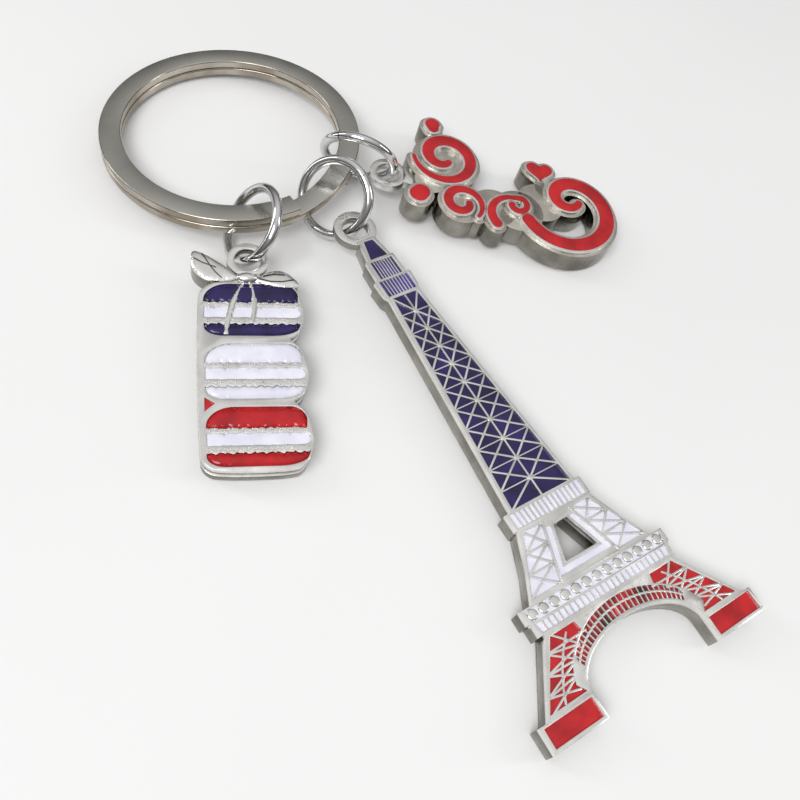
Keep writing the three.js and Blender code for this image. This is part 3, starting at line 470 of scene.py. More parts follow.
level = {
    "finial_tip": -2.6, "finial_base": -5.0, "drum_split": -7.85, "drum_base": -10.3, "shaft_base": -36.65,
    "upper_deck": -38.55, "window_top": -39.6, "window_base": -43.2, "lower_deck_top": -45.05,
    "lower_deck": -47.85, "arch_top": -50.3, "foot_top": -54.2, "base": -56.7,
}
half = {
    "finial_tip": 0.55, "finial_base": 1.05, "upper_drum": 1.75, "lower_drum": 2.2, "shaft_top": 1.9,
    "shaft_base": 4.1, "upper_deck": 4.75, "window_top": 0.8, "window_base": 2.0, "mid_base": 7.6,
    "lower_deck": 9.05, "leg_top": 8.15, "leg_base": 12.45, "arch": 7.15, "foot": 13.45,
}


def both_sides(right):
    return right + [(-x, y) for x, y in reversed(right)]


def mirrored(points):
    return [(-x, y) for x, y in points][::-1]


def trapezoid(top_half, top, base_half, base):
    return [(-base_half, base), (base_half, base), (top_half, top), (-top_half, top)]


def tower_outline():
    y, x = level, half
    deck_middle = mix(y["lower_deck_top"], y["lower_deck"], 0.5)
    right = [
        (x["finial_tip"] + RIM, y["finial_tip"] + RIM), (x["finial_base"] + RIM, y["finial_base"]),
        (x["upper_drum"], y["finial_base"] - 0.1), (x["upper_drum"] + 0.1, y["drum_split"] + 0.1),
        (x["lower_drum"] + 0.1, y["drum_split"]), (x["lower_drum"], y["drum_base"] + 0.5),
        (x["shaft_top"], y["drum_base"]), (x["shaft_base"], y["shaft_base"]), (x["upper_deck"], y["shaft_base"]),
        (x["upper_deck"], y["upper_deck"]), (x["upper_deck"] - 0.15, y["upper_deck"] - 0.1),
        (mix(x["upper_deck"], x["mid_base"], 0.45), mix(y["upper_deck"], y["lower_deck_top"], 0.55)),
        (x["mid_base"], y["lower_deck_top"]), (x["lower_deck"], y["lower_deck_top"]),
        (x["lower_deck"], deck_middle), (x["lower_deck"] - 0.4, deck_middle - 0.12),
        (x["lower_deck"] - 0.4, y["lower_deck"]), (x["leg_top"], y["lower_deck"]),
        (x["leg_base"], y["foot_top"]), (x["foot"], y["foot_top"]), (x["foot"], y["base"]),
        (x["arch"], y["base"]), (x["arch"], y["foot_top"]),
    ]
    right += arc(0, y["foot_top"], x["arch"], y["arch_top"] - y["foot_top"], 0, 90, 20)[1:-1]
    return both_sides(right + [(0.05, y["arch_top"])])


def window_half(at):
    share = (level["window_top"] - at) / (level["window_top"] - level["window_base"])
    return mix(half["window_top"], half["window_base"], share)


def window_line(out, top, base):
    return [(window_half(base) + out, base), (window_half(top) + out, top)]


def panel_field():
    top, base = level["upper_deck"] - RIM, level["lower_deck_top"] + RIM
    beside = WINDOW_FRAME + WINDOW_BAND + 0.3
    return [
        (window_half(base) + beside, base), (half["mid_base"] - RIM, base),
        (half["upper_deck"] - 1.6 * RIM, top), (window_half(top) + beside, top),
    ]


def window_field():
    outer = WINDOW_FRAME + WINDOW_BAND
    right = window_line(outer, level["window_top"], level["window_base"] - outer)
    right += window_line(WINDOW_FRAME, level["window_top"], level["window_base"] - WINDOW_FRAME)[::-1]
    return right + mirrored(right)


def leg_field():
    rise = level["arch_top"] - level["foot_top"] + 2.2
    inner = arc(0, level["foot_top"], half["arch"] + 3 * RIM, rise, 12, 56, 6)
    top = level["lower_deck"] - RIM
    outside = [
        (half["arch"] + RIM, level["foot_top"] + RIM), (half["leg_base"] - 1.5 * RIM, level["foot_top"] + RIM),
        (half["leg_top"] - RIM, top), (inner[-1][0] + 0.2, top),
    ]
    return outside + inner[::-1]


def arch_field():
    rise = level["lower_deck"] - RIM - level["foot_top"]
    low_rise = level["arch_top"] + RIM - level["foot_top"]
    high = arc(0, level["foot_top"], half["arch"] + 2.2 * RIM, rise, 32, 148, 32)
    low = arc(0, level["foot_top"], half["arch"] + RIM, low_rise, 148, 32, 32)
    return high + low


def foot_field():
    top, base = level["foot_top"] - RIM * 0.6, level["base"] + RIM
    inner, outer = half["arch"] + RIM, half["foot"] - RIM
    return [(inner, base), (outer, base), (outer, top), (inner, top)]


y, x = level, half
window_hole = trapezoid(x["window_top"], y["window_top"], x["window_base"], y["window_base"])
tower_fills = {
    "finial": (trapezoid(x["finial_tip"], y["finial_tip"], x["finial_base"], y["finial_base"]), navy),
    "upper_drum": (
        trapezoid(x["upper_drum"] - RIM, y["finial_base"] - RIM, x["upper_drum"] - RIM,
                  y["drum_split"] + SEAM), violet),
    "lower_drum": (
        trapezoid(x["lower_drum"] - RIM, y["drum_split"] - SEAM, x["shaft_top"] - SEAM,
                  y["drum_base"] + 0.25), violet),
    "shaft": (
        trapezoid(x["shaft_top"] - RIM, y["drum_base"] - SEAM, x["shaft_base"] - RIM,
                  y["shaft_base"] + SEAM), navy),
    "upper_deck": (
        trapezoid(x["upper_deck"] - RIM, y["shaft_base"] - 0.2, x["upper_deck"] - RIM,
                  y["upper_deck"] + SEAM), white),
    "left_panel": (mirrored(panel_field()), white),
    "right_panel": (panel_field(), white),
    "window": (window_field(), white),
    "lower_deck": (
        trapezoid(x["lower_deck"] - RIM, y["lower_deck_top"] - 0.2, x["lower_deck"] - 2.4 * RIM,
                  y["lower_deck"] + 0.2), white),
    "arch": (arch_field(), dark_red),
    "left_leg": (mirrored(leg_field()), red),
    "right_leg": (leg_field(), red),
    "left_foot": (mirrored(foot_field()), red),
    "right_foot": (foot_field(), red),
}
print("tower fills:", len(tower_fills))

# %% [markdown]
# ### Ridges of the tower
# Every ridge is a straight bar from one point to another. Loops over the levels place them: stars up the shaft,
# crosses in the side panels and legs, ribs on the decks and drums, and two rows of slots over the arch.

# %% Tower ridges
STARS = 10
LEG_ROWS = 4
SLOTS = 27
ARCH_FROM, ARCH_TO = 30, 150
PANEL_ROWS = 3
lines = []
thin_lines = []


def ribs(count, half_top, half_base, top, base):
    for i in range(1, count):
        t = 2 * i / count - 1
        thin_lines.append(((t * half_base, base), (t * half_top, top)))


def shaft_rail(at):
    share = (at - y["drum_base"]) / (y["shaft_base"] - y["drum_base"])
    return mix(x["shaft_top"], x["shaft_base"], share) - RIM / 2


def star_level(i):
    return mix(y["drum_base"], y["shaft_base"], i / (STARS + 0.9))


lines.append(((0, y["drum_base"]), (0, y["shaft_base"])))
for i in range(1, STARS + 1):
    here = star_level(i)
    thin_lines.append(((-shaft_rail(here), here), (shaft_rail(here), here)))
    for there in (star_level(i - 1), max(star_level(i + 1), y["shaft_base"])):
        for side in (-1, 1):
            lines.append(((0, here), (side * shaft_rail(there), there)))

ribs(8, x["upper_drum"] - RIM, x["upper_drum"] - RIM, y["finial_base"] - RIM / 2, y["drum_split"])
ribs(9, x["lower_drum"] - RIM, x["shaft_top"] - 0.2, y["drum_split"], y["drum_base"])
ribs(15, x["upper_deck"] - RIM, x["upper_deck"] - 1.2 * RIM, y["shaft_base"], y["upper_deck"])

inner_base, outer_base, outer_top, inner_top = panel_field()
for side in (-1, 1):
    for row in range(PANEL_ROWS):
        a, b = row / PANEL_ROWS, (row + 1) / PANEL_ROWS
        in_a = (side * mix(inner_top[0], inner_base[0], a), mix(inner_top[1], inner_base[1], a))
        in_b = (side * mix(inner_top[0], inner_base[0], b), mix(inner_top[1], inner_base[1], b))
        out_a = (side * mix(outer_top[0], outer_base[0], a), mix(outer_top[1], outer_base[1], a))
        out_b = (side * mix(outer_top[0], outer_base[0], b), mix(outer_top[1], outer_base[1], b))
        lines += [(in_a, out_b), (out_a, in_b)]
        if row:
            lines.append((in_a, out_a))


def leg_outer(t):
    return mix(x["leg_top"], x["leg_base"], t) - RIM / 2, mix(y["lower_deck"], y["foot_top"], t)


def leg_inner(t):
    angle = radians(mix(58, 8, t))
    rise = y["arch_top"] - y["foot_top"] + 1.8
    return (x["arch"] + 2 * RIM) * cos(angle), y["foot_top"] + rise * sin(angle)


def leg_middle(t):
    return tuple((a + b) / 2 for a, b in zip(leg_outer(t), leg_inner(t)))


for row in range(LEG_ROWS):
    a, b = row / LEG_ROWS, (row + 1) / LEG_ROWS
    pairs = [(leg_middle(a), leg_middle(b)), (leg_outer(a), leg_inner(b)), (leg_inner(a), leg_outer(b))]
    if row:
        pairs.append((leg_outer(a), leg_inner(a)))
    for p, q in pairs:
        lines.append((p, q))
        lines.append(((-p[0], p[1]), (-q[0], q[1])))


def arch_point(angle, t):
    reach = mix(x["arch"] + RIM / 2, x["arch"] + 2.6 * RIM, t)
    rise = mix(y["arch_top"] - y["foot_top"] + RIM / 2, y["lower_deck"] - y["foot_top"], t)
    return reach * cos(angle), y["foot_top"] + rise * sin(angle)


for i in range(SLOTS + 1):
    angle = radians(mix(ARCH_FROM, ARCH_TO, i / SLOTS))
    following = radians(mix(ARCH_FROM, ARCH_TO, (i + 1) / SLOTS))
    thin_lines.append((arch_point(angle, 0), arch_point(angle, 1)))
    if i < SLOTS:
        lines.append((arch_point(angle, 0.5), arch_point(following, 0.5)))
print("tower ridges:", len(lines) + len(thin_lines))

# %% Tower casting
deck_half = x["lower_deck"] - RIM
deck_rail = mix(y["lower_deck_top"], y["lower_deck"], 0.55)
SCALLOPS = 13
SCALLOP_EDGE = 0.16
NAIL_EDGE = 0.05
pitch = 2 * deck_half / SCALLOPS
boss_level = mix(y["lower_deck_top"], deck_rail, 0.5)
lines.append(((-x["lower_deck"] + 0.2, deck_rail), (x["lower_deck"] - 0.2, deck_rail)))
ribs(25, deck_half - 1.2 * RIM, deck_half - 1.2 * RIM, deck_rail, y["lower_deck"])
bosses = []
for i in range(SCALLOPS):
    at = -deck_half + pitch * (i + 0.5)
    bosses.append(disc(at, boss_level, pitch * 0.42, POCKET, PLATE, SCALLOP_EDGE, 20))
for i in range(1, STARS + 1):
    bosses.append(disc(0, star_level(i), RIDGE * 1.25, POCKET, PLATE, NAIL_EDGE, 16))

field_loops = [outline for outline, _ in tower_fills.values()]
frame_lines = []
for out, top, base in ((0.16, y["window_top"] + 0.1, y["window_base"] - 0.16),
                       (WINDOW_FRAME + WINDOW_BAND + 0.15, y["upper_deck"] - 0.3, y["lower_deck_top"] + 0.2)):
    (base_x, _), (top_x, _) = window_line(out, top, base)
    frame_lines += [((side * top_x, top), (side * base_x, base)) for side in (-1, 1)]
    frame_lines.append(((-base_x, base), (base_x, base)))
eye = round_eye(2.45, 1.45, EYE_LOW, EYE_HIGH, 0.12)
neck = sheet([trapezoid(1.1, -1.75, x["finial_tip"] + RIM, y["finial_tip"])], EYE_LOW, EYE_HIGH, 0.1)
casting = merge([
    sheet([tower_outline(), window_hole], 0, POCKET + 0.02, EDGE),
    sheet([tower_outline(), window_hole, *field_loops], POCKET - 0.1, PLATE, EDGE),
    ridges(lines, RIDGE, POCKET, PLATE - 0.01, 0.07),
    ridges(thin_lines, RIDGE * 0.62, POCKET, PLATE - 0.03, 0.05),
    ridges(frame_lines, 0.17, PLATE - 0.1, PLATE + 0.07, 0.05),
    *bosses, eye, neck,
])
# Steep faces low on the casting take the painted dark reflection.
for face in casting.faces:
    on_painted_wall = abs(face.normal.z) < 0.5 and face.calc_center_median().z < POCKET - 0.15
    face.material_index = 1 if on_painted_wall else 0
settle("tower_cast_body", to_mesh("tower", casting), tower_frame, "tower_charm", (cast_metal, wall_painted_reflection),
       ("tower_casting",))

# %% Tower enamel
ENAMEL_WALL = 0.36
ENAMEL_RISE = 0.05
ENAMEL_SHOULDER = 0.2
TOWER_GRID = 0.9
for name, (outline, colour) in tower_fills.items():
    fill = pillow(outline, POCKET, ENAMEL_WALL, ENAMEL_RISE, ENAMEL_SHOULDER, TOWER_GRID)
    settle("tower_fill_" + name, to_mesh(name, fill), tower_frame, "tower_charm", (colour,),
           ("tower_enamel_" + name,))

# %% [markdown]
# ## The macaron charm
# Three filled biscuits are stacked against a straight bar, under a ribbon bow. The casting shows two layers with
# a groove between them. Each shell is a dome of enamel whose lower edge is ruffled, as a macaron's foot is, so
# its outline is drawn with a wavering line, and its face rises with the distance from that outline.

# %% Macaron sizes and outlines
STACK = ("top", "middle", "bottom")
MACARON_WIDTH = 11.0
MACARON_TALL = 7.15
STACK_TOP = -3.2
BULGE = 1.1
WAIST = 1.05
WAIST_INSET = 0.45
SWELL = ((-0.8, 0.95), (-0.5, 0.35), (-0.15, 0.0), (0.2, 0.1), (0.6, 0.5), (0.85, 1.0))
BAR = 0.75
RIGHT_EDGE = 0.65
half_wide = MACARON_WIDTH / 2
stack_base = STACK_TOP - len(STACK) * MACARON_TALL


def soften(points, rounds=3):
    for _ in range(rounds):
        following = points[1:] + points[:1]
        points = [
            (mix(a[0], b[0], t), mix(a[1], b[1], t)) for a, b in zip(points, following) for t in (0.25, 0.75)
        ]
    return points


def stack_outline(shrink=0.0):
    side = half_wide - shrink
    top, base = STACK_TOP - shrink, stack_base + shrink
    points = [(-side, base + 1.9), (-side + 0.5, base + 0.6), (-side + 1.8, base)]
    for i in reversed(range(len(STACK))):
        middle = STACK_TOP - MACARON_TALL * (i + 0.5)
        low = -1 if i == len(STACK) - 1 else -0.94
        for t, inset in ((low, 1.9), *SWELL):
            height = min(max(middle + t * MACARON_TALL / 2, base), top)
            points.append((side - inset * BULGE / 1.1, height))
    points += [(side - 2.2, top), (-side + 2.4, top), (-side + 0.7, top - 0.9), (-side, top - 2.4)]
    return soften(points, 2)


def ruffle(at, start, end, wave, phase, count=46):
    line = []
    for i in range(count + 1):
        ripple = sin(1.7 * i + phase) + 0.6 * sin(0.83 * i + 2 * phase) + 0.45 * sin(3.1 * i + 3 * phase)
        line.append((mix(start, end, i / count), at + wave * ripple))
    return line


def macaron_fills(i):
    left, right = -half_wide + BAR, half_wide - RIGHT_EDGE
    middle = STACK_TOP - MACARON_TALL * (i + 0.5)
    phase = 1.3 * i + 0.4
    foot, crown = middle + 0.85, middle + 3.12
    shell = ruffle(foot, left, right, 0.075, phase)
    shell += arc(right - 1.5, crown - 1.6, 1.6, 1.6, 8, 90, 10)
    shell += arc(left + 2.7, foot + 0.2, 2.7, crown - foot - 0.2, 90, 176, 14)
    brim, keel = middle - 1.75, middle - 3.12
    base = ruffle(brim, left, right + 0.2, 0.085, phase + 1)[::-1]
    base += arc(left + 1.8, keel + 1.1, 1.8, 1.1, 184, 270, 10)
    base += arc(right - 2.8, brim - 0.05, 3.0, brim - keel - 0.05, 270, 354, 14)
    low, high = middle - 0.95, middle + 0.35
    filling = ruffle(low, left, right - 0.5, 0.02, phase + 2, 24)
    filling += arc(right - 0.45, (low + high) / 2, 0.8, (high - low) / 2, -70, 70, 10)
    filling += ruffle(high, left, right - 0.5, 0.045, phase + 3, 32)[::-1]
    return {"shell": shell, "filling": filling, "base": base}


corner = STACK_TOP - 2 * MACARON_TALL
gusset_left = -half_wide + 0.65
gusset = [(gusset_left, corner - 0.85), (-half_wide + 1.6, corner - 0.05), (gusset_left, corner + 0.6)]
fills = {}
for i, (place_name, colour) in enumerate(zip(STACK, (navy, white, red))):
    for part, outline in macaron_fills(i).items():
        fills[place_name + "_" + part] = (outline, white if part == "filling" else colour)
fills["gusset"] = (gusset, red)
print("macaron fills:", len(fills))

# %% [markdown]
# ### Bow, beads and body of the macaron charm
# The bow is two leaf-shaped loops with two cut lines each, an oval knot and two tapering tails. Along each
# ruffle sit tiny beads of metal of uneven size, which is how the casting suggests a crumbly edge.

# %% Macaron casting
BOW_TOP = PLATE + 0.3
BOW_TILT = radians(-8)
tilt_cos, tilt_sin = cos(BOW_TILT), sin(BOW_TILT)


def askew(points):
    return [(px * tilt_cos - py * tilt_sin, px * tilt_sin + py * tilt_cos) for px, py in points]


leaf_left = askew([
    (-0.4, -3.2), (-1.5, -2.3), (-3.5, -1.15), (-5.1, -0.45), (-5.9, -0.5), (-5.7, -2.2), (-5.1, -3.2),
    (-3.8, -3.95), (-2.3, -3.75),
])
leaf_right = askew([
    (0.6, -3.2), (1.3, -2.7), (2.3, -1.85), (3.4, -1.45), (4.5, -1.8), (5.7, -2.8), (5.3, -3.4),
    (3.3, -3.6), (1.7, -3.4),
])
cut_paths = [askew(path) for path in (
    [(-4.7, -0.8), (-4.2, -1.5), (-3.7, -2.2), (-3.1, -2.9), (-2.4, -3.5)],
    [(-5.5, -1.5), (-4.5, -1.95), (-3.1, -2.3)],
    [(1.4, -3.0), (2.6, -3.15), (3.8, -3.0), (5.0, -2.55)],
    [(1.8, -2.6), (2.9, -2.2), (4.0, -2.1)],
)]


def tail_outline(spine, wide):
    left, right = [], []
    for i, (px, py) in enumerate(spine):
        t = i / (len(spine) - 1)
        spread = mix(0.14, wide, min(1, t * 2.5)) * mix(1, 0.6, t)
        left.append((px - spread, py))
        right.append((px + spread, py))
    return left + right[::-1]


def bend(start, middle, end, count=12):
    spine = []
    for i in range(count + 1):
        t = i / count
        a, b, c = (1 - t) ** 2, 2 * t * (1 - t), t * t
        spine.append((a * start[0] + b * middle[0] + c * end[0], a * start[1] + b * middle[1] + c * end[1]))
    return spine


bow = []
for outline in (leaf_left, leaf_right):
    bow.append(sheet([soften(outline)], 0.4, PLATE, 0.12))
    bow.append(pillow(soften(outline), PLATE - 0.2, 0.3, 0.2, 0.7))
TAILS = (
    (bend((-0.5, -3.4), (-2.1, -5.6), (-2.6, -9.8)), 0.4),
    (bend((0.0, -3.5), (0.8, -5.6), (0.0, -8.5)), 0.34),
)
for spine, wide in TAILS:
    bow.append(pillow(tail_outline(spine, wide), FILL_TOP - 0.1, 0.36, 0.1, 0.25, 0.2))
knot = bmesh.new()
knot_place = Matrix.Translation((-0.2, -3.0, BOW_TOP - 0.15))
bmesh.ops.create_uvsphere(
    knot, u_segments=24, v_segments=14, radius=1, matrix=knot_place @ Matrix.Diagonal((1.15, 0.6, 0.5, 1))
)
bow.append(knot)

BEAD_ROWS = (0.72, 0.55, -1.25, -1.5)
beads = bmesh.new()
for i in range(len(STACK)):
    middle = STACK_TOP - MACARON_TALL * (i + 0.5)
    for row, rise in enumerate(BEAD_ROWS):
        beaded = ruffle(middle + rise, -half_wide + 0.85, half_wide - 0.6, 0.05, 1.3 * i + row, 40)
        for k, (bx, by) in enumerate(beaded):
            swell = 0.1 + 0.05 * sin(2.3 * k + row + i)
            lift = Matrix.Translation((bx, by + 0.05 * sin(5.1 * k + row), PLATE - 0.02))
            bmesh.ops.create_icosphere(
                beads, subdivisions=1, radius=1, matrix=lift @ Matrix.Diagonal((swell * 1.5, swell, 0.08, 1))
            )

field_loops = [outline for outline, _ in fills.values()]
eye = round_eye(2.2, 1.4, EYE_LOW, EYE_HIGH, 0.14)
neck = sheet([trapezoid(1.2, -1.75, 1.4, STACK_TOP - 0.4)], EYE_LOW, EYE_HIGH, 0.1)
casting = merge([
    sheet([stack_outline()], 0, WAIST, EDGE),
    sheet([stack_outline(WAIST_INSET)], WAIST - 0.05, PLATE - WAIST + 0.05, 0.02),
    sheet([stack_outline()], PLATE - WAIST, POCKET + 0.02, EDGE),
    sheet([stack_outline(), *field_loops], POCKET - 0.1, PLATE, EDGE),
    eye, neck, beads, *bow,
])
# Steep faces low on the casting take the painted dark reflection.
for face in casting.faces:
    on_painted_wall = abs(face.normal.z) < 0.3 and face.calc_center_median().z < PLATE - 0.55
    face.material_index = 1 if on_painted_wall else 0
settle("macaron_cast_body", to_mesh("macaron", casting), macaron_frame, "macaron_charm", (cast_metal, wall_painted_reflection),
       ("macaron_casting",))
# The bow's cut lines are thin dark bars that stand a little above the leaves: painted shade in place of carved
# grooves.
cut_lines = [pair for path in cut_paths for pair in zip(path, path[1:])]
CUT_WIDTH = 0.1
cuts = ridges(cut_lines, CUT_WIDTH, BOW_TOP - 0.35, BOW_TOP + 0.075, 0.02)
settle("macaron_bow_cut_shade", to_mesh("cuts", cuts), macaron_frame, "macaron_charm", (groove_painted_shade,))

# %% Macaron enamel
DOME = (0.38, 0.75)
FLAT_DOME = (0.12, 0.3)
for name, (outline, colour) in fills.items():
    puffed = "shell" in name or "base" in name
    rise, shoulder = DOME if puffed else FLAT_DOME
    fill = pillow(outline, POCKET, ENAMEL_WALL, rise, shoulder)
    settle("macaron_fill_" + name, to_mesh(name, fill), macaron_frame, "macaron_charm",
           (colour,), ("macaron_enamel_" + name,))

# %% [markdown]
# ## The scroll charm
# A deep plate carries scrollwork: spiral strokes of red enamel, each inside a raised silver border, over a
# sand-textured field. A stroke is an edge pushed along a spiral while its width changes; its border is the same
# stroke made wider. A flat curve would fail here, because a tight spiral's border overlaps itself.

# %% Scroll strokes
SCROLL_PLATE = 2.9
SCROLL_FIELD = 2.5
BORDER = 0.62
LINE_TOP = SCROLL_PLATE + 0.05
RAISED_LINE = 0.27
CAP_SHARES = (0.2, 0.38, 0.55, 0.7, 0.82, 0.91, 0.97, 0.995)
DRAWN_TO_CAST = 27.8 / 28.5


def coil(centre, radius, turn, width, drift=(0, 0), tighten=1.0, swell=0.0, steps=60):
    path = []
    for i in range(steps + 1):
        t = i / steps
        angle = radians(mix(*turn, t))
        reach = mix(*radius, t ** tighten)
        path.append((centre[0] + drift[0] * t + reach * cos(angle), centre[1] + drift[1] * t + reach * sin(angle),
                     mix(*width, t) + swell * sin(pi * t)))
    return path


drawn_strokes = {
    "great_volute": coil((6.9, 3.3), (4, 1), (-170, 300), (0.5, 0.9), tighten=1.5, swell=0.9, steps=80),
    "bud": [(5.4, 8.6, 1.9), (5.42, 8.3, 1.75), (5.45, 8.1, 1.6), (5.5, 7.9, 1.4)],
    "bead": [(3.6, -3.5, 2.3), (3.9, -3.1, 2.2)],
    "middle_volute": coil((9, -3.7), (2.7, 0.9), (-40, 360), (0.5, 0.9), swell=0.5, steps=70),
    "tendril": coil((15.4, -4.6), (2.5, 3.1), (215, 95), (1.3, 0.7), steps=24)
    + coil((16.2, -2.5), (1.3, 0.8), (60, -170), (0.8, 0.9), steps=36),
    "end_volute": coil((23.3, -2.2), (6.3, 1), (-158, 300), (1.7, 1), drift=(0.6, 2.6), swell=0.5, steps=90),
}
strokes = {
    name: [(px * DRAWN_TO_CAST, py, width) for px, py, width in path] for name, path in drawn_strokes.items()
}
print("scroll strokes:", len(strokes))


def rounded(path, grow):
    points = [(px, py, width / 2 + grow) for px, py, width in path]
    caps = []
    for end, inside in ((0, 1), (-1, -2)):
        ex, ey, reach = points[end]
        away = Vector((ex - points[inside][0], ey - points[inside][1])).normalized() * reach
        caps.append([(ex + away.x * t, ey + away.y * t, reach * math.sqrt(1 - t * t)) for t in CAP_SHARES])
    return caps[0][::-1] + points + caps[1]


def stroke(path, grow, low, high, edge):
    shape = bmesh.new()
    path = rounded(path, grow)

    def pair(i):
        a, b = path[max(i - 1, 0)], path[min(i + 1, len(path) - 1)]
        run = Vector((b[0] - a[0], b[1] - a[1])).normalized()
        here = Vector(path[i][:2])
        across = Vector((-run.y, run.x)) * path[i][2]
        return [(*(here + across), low), (*(here - across), low)]

    rung = shape.edges.new([shape.verts.new(p) for p in pair(0)])
    for i in range(1, len(path)):
        grown = bmesh.ops.extrude_edge_only(shape, edges=[rung])["geom"]
        fresh = {g for g in grown if isinstance(g, bmesh.types.BMVert)}
        rung = next(g for g in grown if isinstance(g, bmesh.types.BMEdge) and set(g.verts) == fresh)
        before, after = pair(i - 1), pair(i)
        for vert in fresh:
            near = (vert.co - Vector(before[0])).length < (vert.co - Vector(before[1])).length
            vert.co = after[0 if near else 1]
    raised = bmesh.ops.extrude_face_region(shape, geom=list(shape.faces))["geom"]
    lifted = [g for g in raised if isinstance(g, bmesh.types.BMVert)]
    bmesh.ops.translate(shape, verts=lifted, vec=(0, 0, high - low))
    bmesh.ops.recalc_face_normals(shape, faces=shape.faces)
    rims = [
        e for e in shape.edges
        if all(v.co.z > high - LEVEL_TOLERANCE for v in e.verts)
        and any(abs(f.normal.z) < 0.5 for f in e.link_faces)
    ]
    bmesh.ops.bevel(
        shape, geom=rims, offset=edge, segments=3, affect="EDGES", profile=0.5, material=-1, clamp_overlap=True
    )
    return shape


def heart(at_x, at_y, size, count=48):
    outline = []
    for i in range(count):
        t = 2 * pi * (i + 0.5) / count
        up = 0.81 * cos(t) - 0.31 * cos(2 * t) - 0.13 * cos(3 * t) - 0.06 * cos(4 * t)
        outline.append((at_x - size * sin(t) ** 3, at_y + size * up))
    return outline


# %% Scroll casting and its enamel
HEART_AT = (19.5 * DRAWN_TO_CAST, 3.9)
HEART_SIZE = 1.7
BACKING = (
    (6.9, 3.3, 3.9), (9, -3.7, 2.8), (13.2, -3.2, 2.9), (16.4, -3, 3.2), (19.4, -1, 3), (5.2, -0.6, 2),
    (20.6, 1.6, 1.8),
)
plate = [disc(bx * DRAWN_TO_CAST, by, r, 0, SCROLL_FIELD - 0.02, 0.05, 48) for bx, by, r in BACKING]
heart_path = [(px, py, 0.0) for px, py in heart(*HEART_AT, HEART_SIZE)]
heart_path.append(heart_path[0])
outlines = [*strokes.values(), heart_path]
plate += [stroke(path, BORDER, 0, SCROLL_FIELD, 0.12) for path in outlines]
plate.append(sheet([heart(*HEART_AT, HEART_SIZE)], 0, SCROLL_FIELD, 0.05))
plate = merge(plate)
# Steep faces of the sand plate take the painted dark reflection.
for face in plate.faces:
    face.material_index = 1 if abs(face.normal.z) < 0.3 else 0
settle("scroll_sand_plate", to_mesh("plate", plate), scroll_frame, "scroll_charm", (sand_metal, wall_painted_reflection),
       ("scroll_casting",))
eye_low, eye_high = (SCROLL_PLATE - 1) / 2, (SCROLL_PLATE + 1) / 2
rims = [stroke(path, RAISED_LINE, SCROLL_FIELD - 0.1, SCROLL_PLATE, 0.1) for path in outlines]
rims.append(round_eye(2.25, 1.4, eye_low, eye_high, 0.14))
rims.append(sheet([[(1.7, -1.1), (3.6, -1.5), (3.6, 1.5), (1.7, 1.1)]], eye_low, eye_high, 0.1))
settle("scroll_raised_lines", to_mesh("rims", merge(rims)), scroll_frame, "scroll_charm", (cast_metal,))
for name, path in strokes.items():
    fill = stroke(path, -0.02, SCROLL_PLATE - 0.3, LINE_TOP, 0.09)
    settle("scroll_fill_" + name, to_mesh(name, fill), scroll_frame, "scroll_charm", (red,),
           ("scroll_enamel_" + name,))
fill = pillow(heart(*HEART_AT, HEART_SIZE), SCROLL_PLATE - 0.3, 0.32, 0.12, 0.4, 0.2)
settle("scroll_fill_heart", to_mesh("heart", fill), scroll_frame, "scroll_charm", (red,),
       ("scroll_enamel_heart",))

# %% [markdown]
# ## Studio
# The keychain lies on a pale table under broad soft lights. Metal shows only what surrounds it, so the room is
# bright overhead and greyer towards the horizon, and two long lights give the highlights their edges.

# %% Floor, light and camera
FLOOR_HALF = 1.5
FLOOR_GAP = 0.0002
HORIZON = 0.45
ZENITH = 0.95
floor_shape = bmesh.new()
bmesh.ops.create_grid(floor_shape, x_segments=1, y_segments=1, size=FLOOR_HALF)
floor_mesh = to_mesh("table", floor_shape)
floor = bpy.data.objects.new("table", floor_mesh)
bpy.context.scene.collection.objects.link(floor)
floor.location.z = cad_box[0][2] - FLOOR_GAP
table_paint, tree, shader, place = node_tree("pale table")
shade = ramp(tree, noise(tree, place, 60, 2), 0, 1)
table_colour = blend(tree, shade, (0.86, 0.86, 0.86), (0.88, 0.88, 0.88))
tree.links.new(table_colour, shader.inputs["Base Color"])
shader.inputs["Roughness"].default_value = 0.7
floor_mesh.materials.append(table_paint)

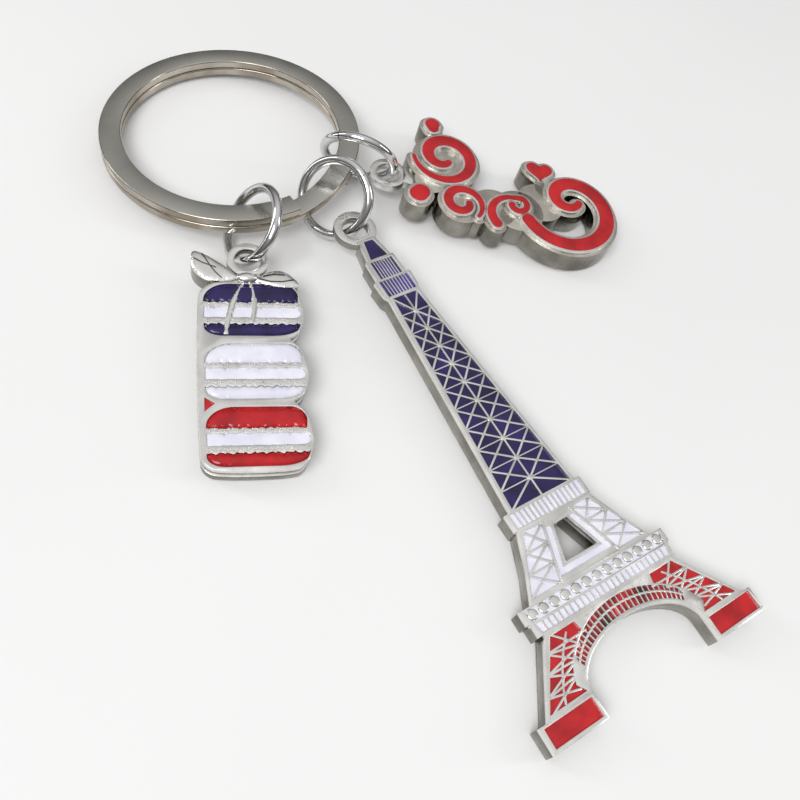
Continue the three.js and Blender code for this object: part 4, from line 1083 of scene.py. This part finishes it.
world = bpy.data.worlds.new("studio")
world.use_nodes = True
bpy.context.scene.world = world
tree = world.node_tree
background = tree.nodes["Background"]
direction = tree.nodes.new("ShaderNodeTexCoord")
split = tree.nodes.new("ShaderNodeSeparateXYZ")
tree.links.new(direction.outputs["Generated"], split.inputs["Vector"])
sky = tree.nodes.new("ShaderNodeValToRGB")
sky.color_ramp.elements[0].position = 0.0
sky.color_ramp.elements[0].color = (0.05, 0.045, 0.04, 1)
sky.color_ramp.elements[1].position = ZENITH
sky.color_ramp.elements[1].color = (1, 1, 1, 1)
middle_stop = sky.color_ramp.elements.new(HORIZON)
middle_stop.color = (0.34, 0.33, 0.32, 1)
tree.links.new(split.outputs["Z"], sky.inputs["Fac"])
tree.links.new(sky.outputs["Color"], background.inputs["Color"])
background.inputs["Strength"].default_value = 0.8


def soft_light(name, at, size, power):
    lamp = bpy.data.lights.new(name, "AREA")
    lamp.shape = "RECTANGLE"
    lamp.size, lamp.size_y = size
    lamp.energy = power
    holder = bpy.data.objects.new(name, lamp)
    holder.location = at
    holder.rotation_euler = (ring_centre - Vector(at)).to_track_quat("-Z", "Y").to_euler()
    bpy.context.scene.collection.objects.link(holder)


soft_light("key behind the camera", (-0.25, -0.35, 0.55), (0.35, 0.3), 2.6)
soft_light("left window", (-0.5, 0.15, 0.22), (0.1, 0.4), 0.5)
soft_light("right card", (0.45, 0.0, 0.25), (0.1, 0.3), 0.35)

CAMERA_FROM_RING = Vector((5.35, -81.77, 77.78)) * MM
LOOK = Vector((0.1641, 0.5218, -0.8371)).normalized()
UP = Vector((-0.1098, 0.853, 0.5102))
side = LOOK.cross(UP).normalized()
camera = bpy.data.objects.new("camera", bpy.data.cameras.new("camera"))
camera.data.sensor_width = 36
camera.data.lens = 40.5
camera.data.clip_start = 0.005
turn = Matrix((side, side.cross(LOOK), -LOOK)).transposed().to_4x4()
camera.matrix_world = Matrix.Translation(ring_centre + CAMERA_FROM_RING) @ turn
bpy.context.scene.collection.objects.link(camera)
bpy.context.scene.camera = camera
bpy.context.scene.view_settings.view_transform = "Standard"
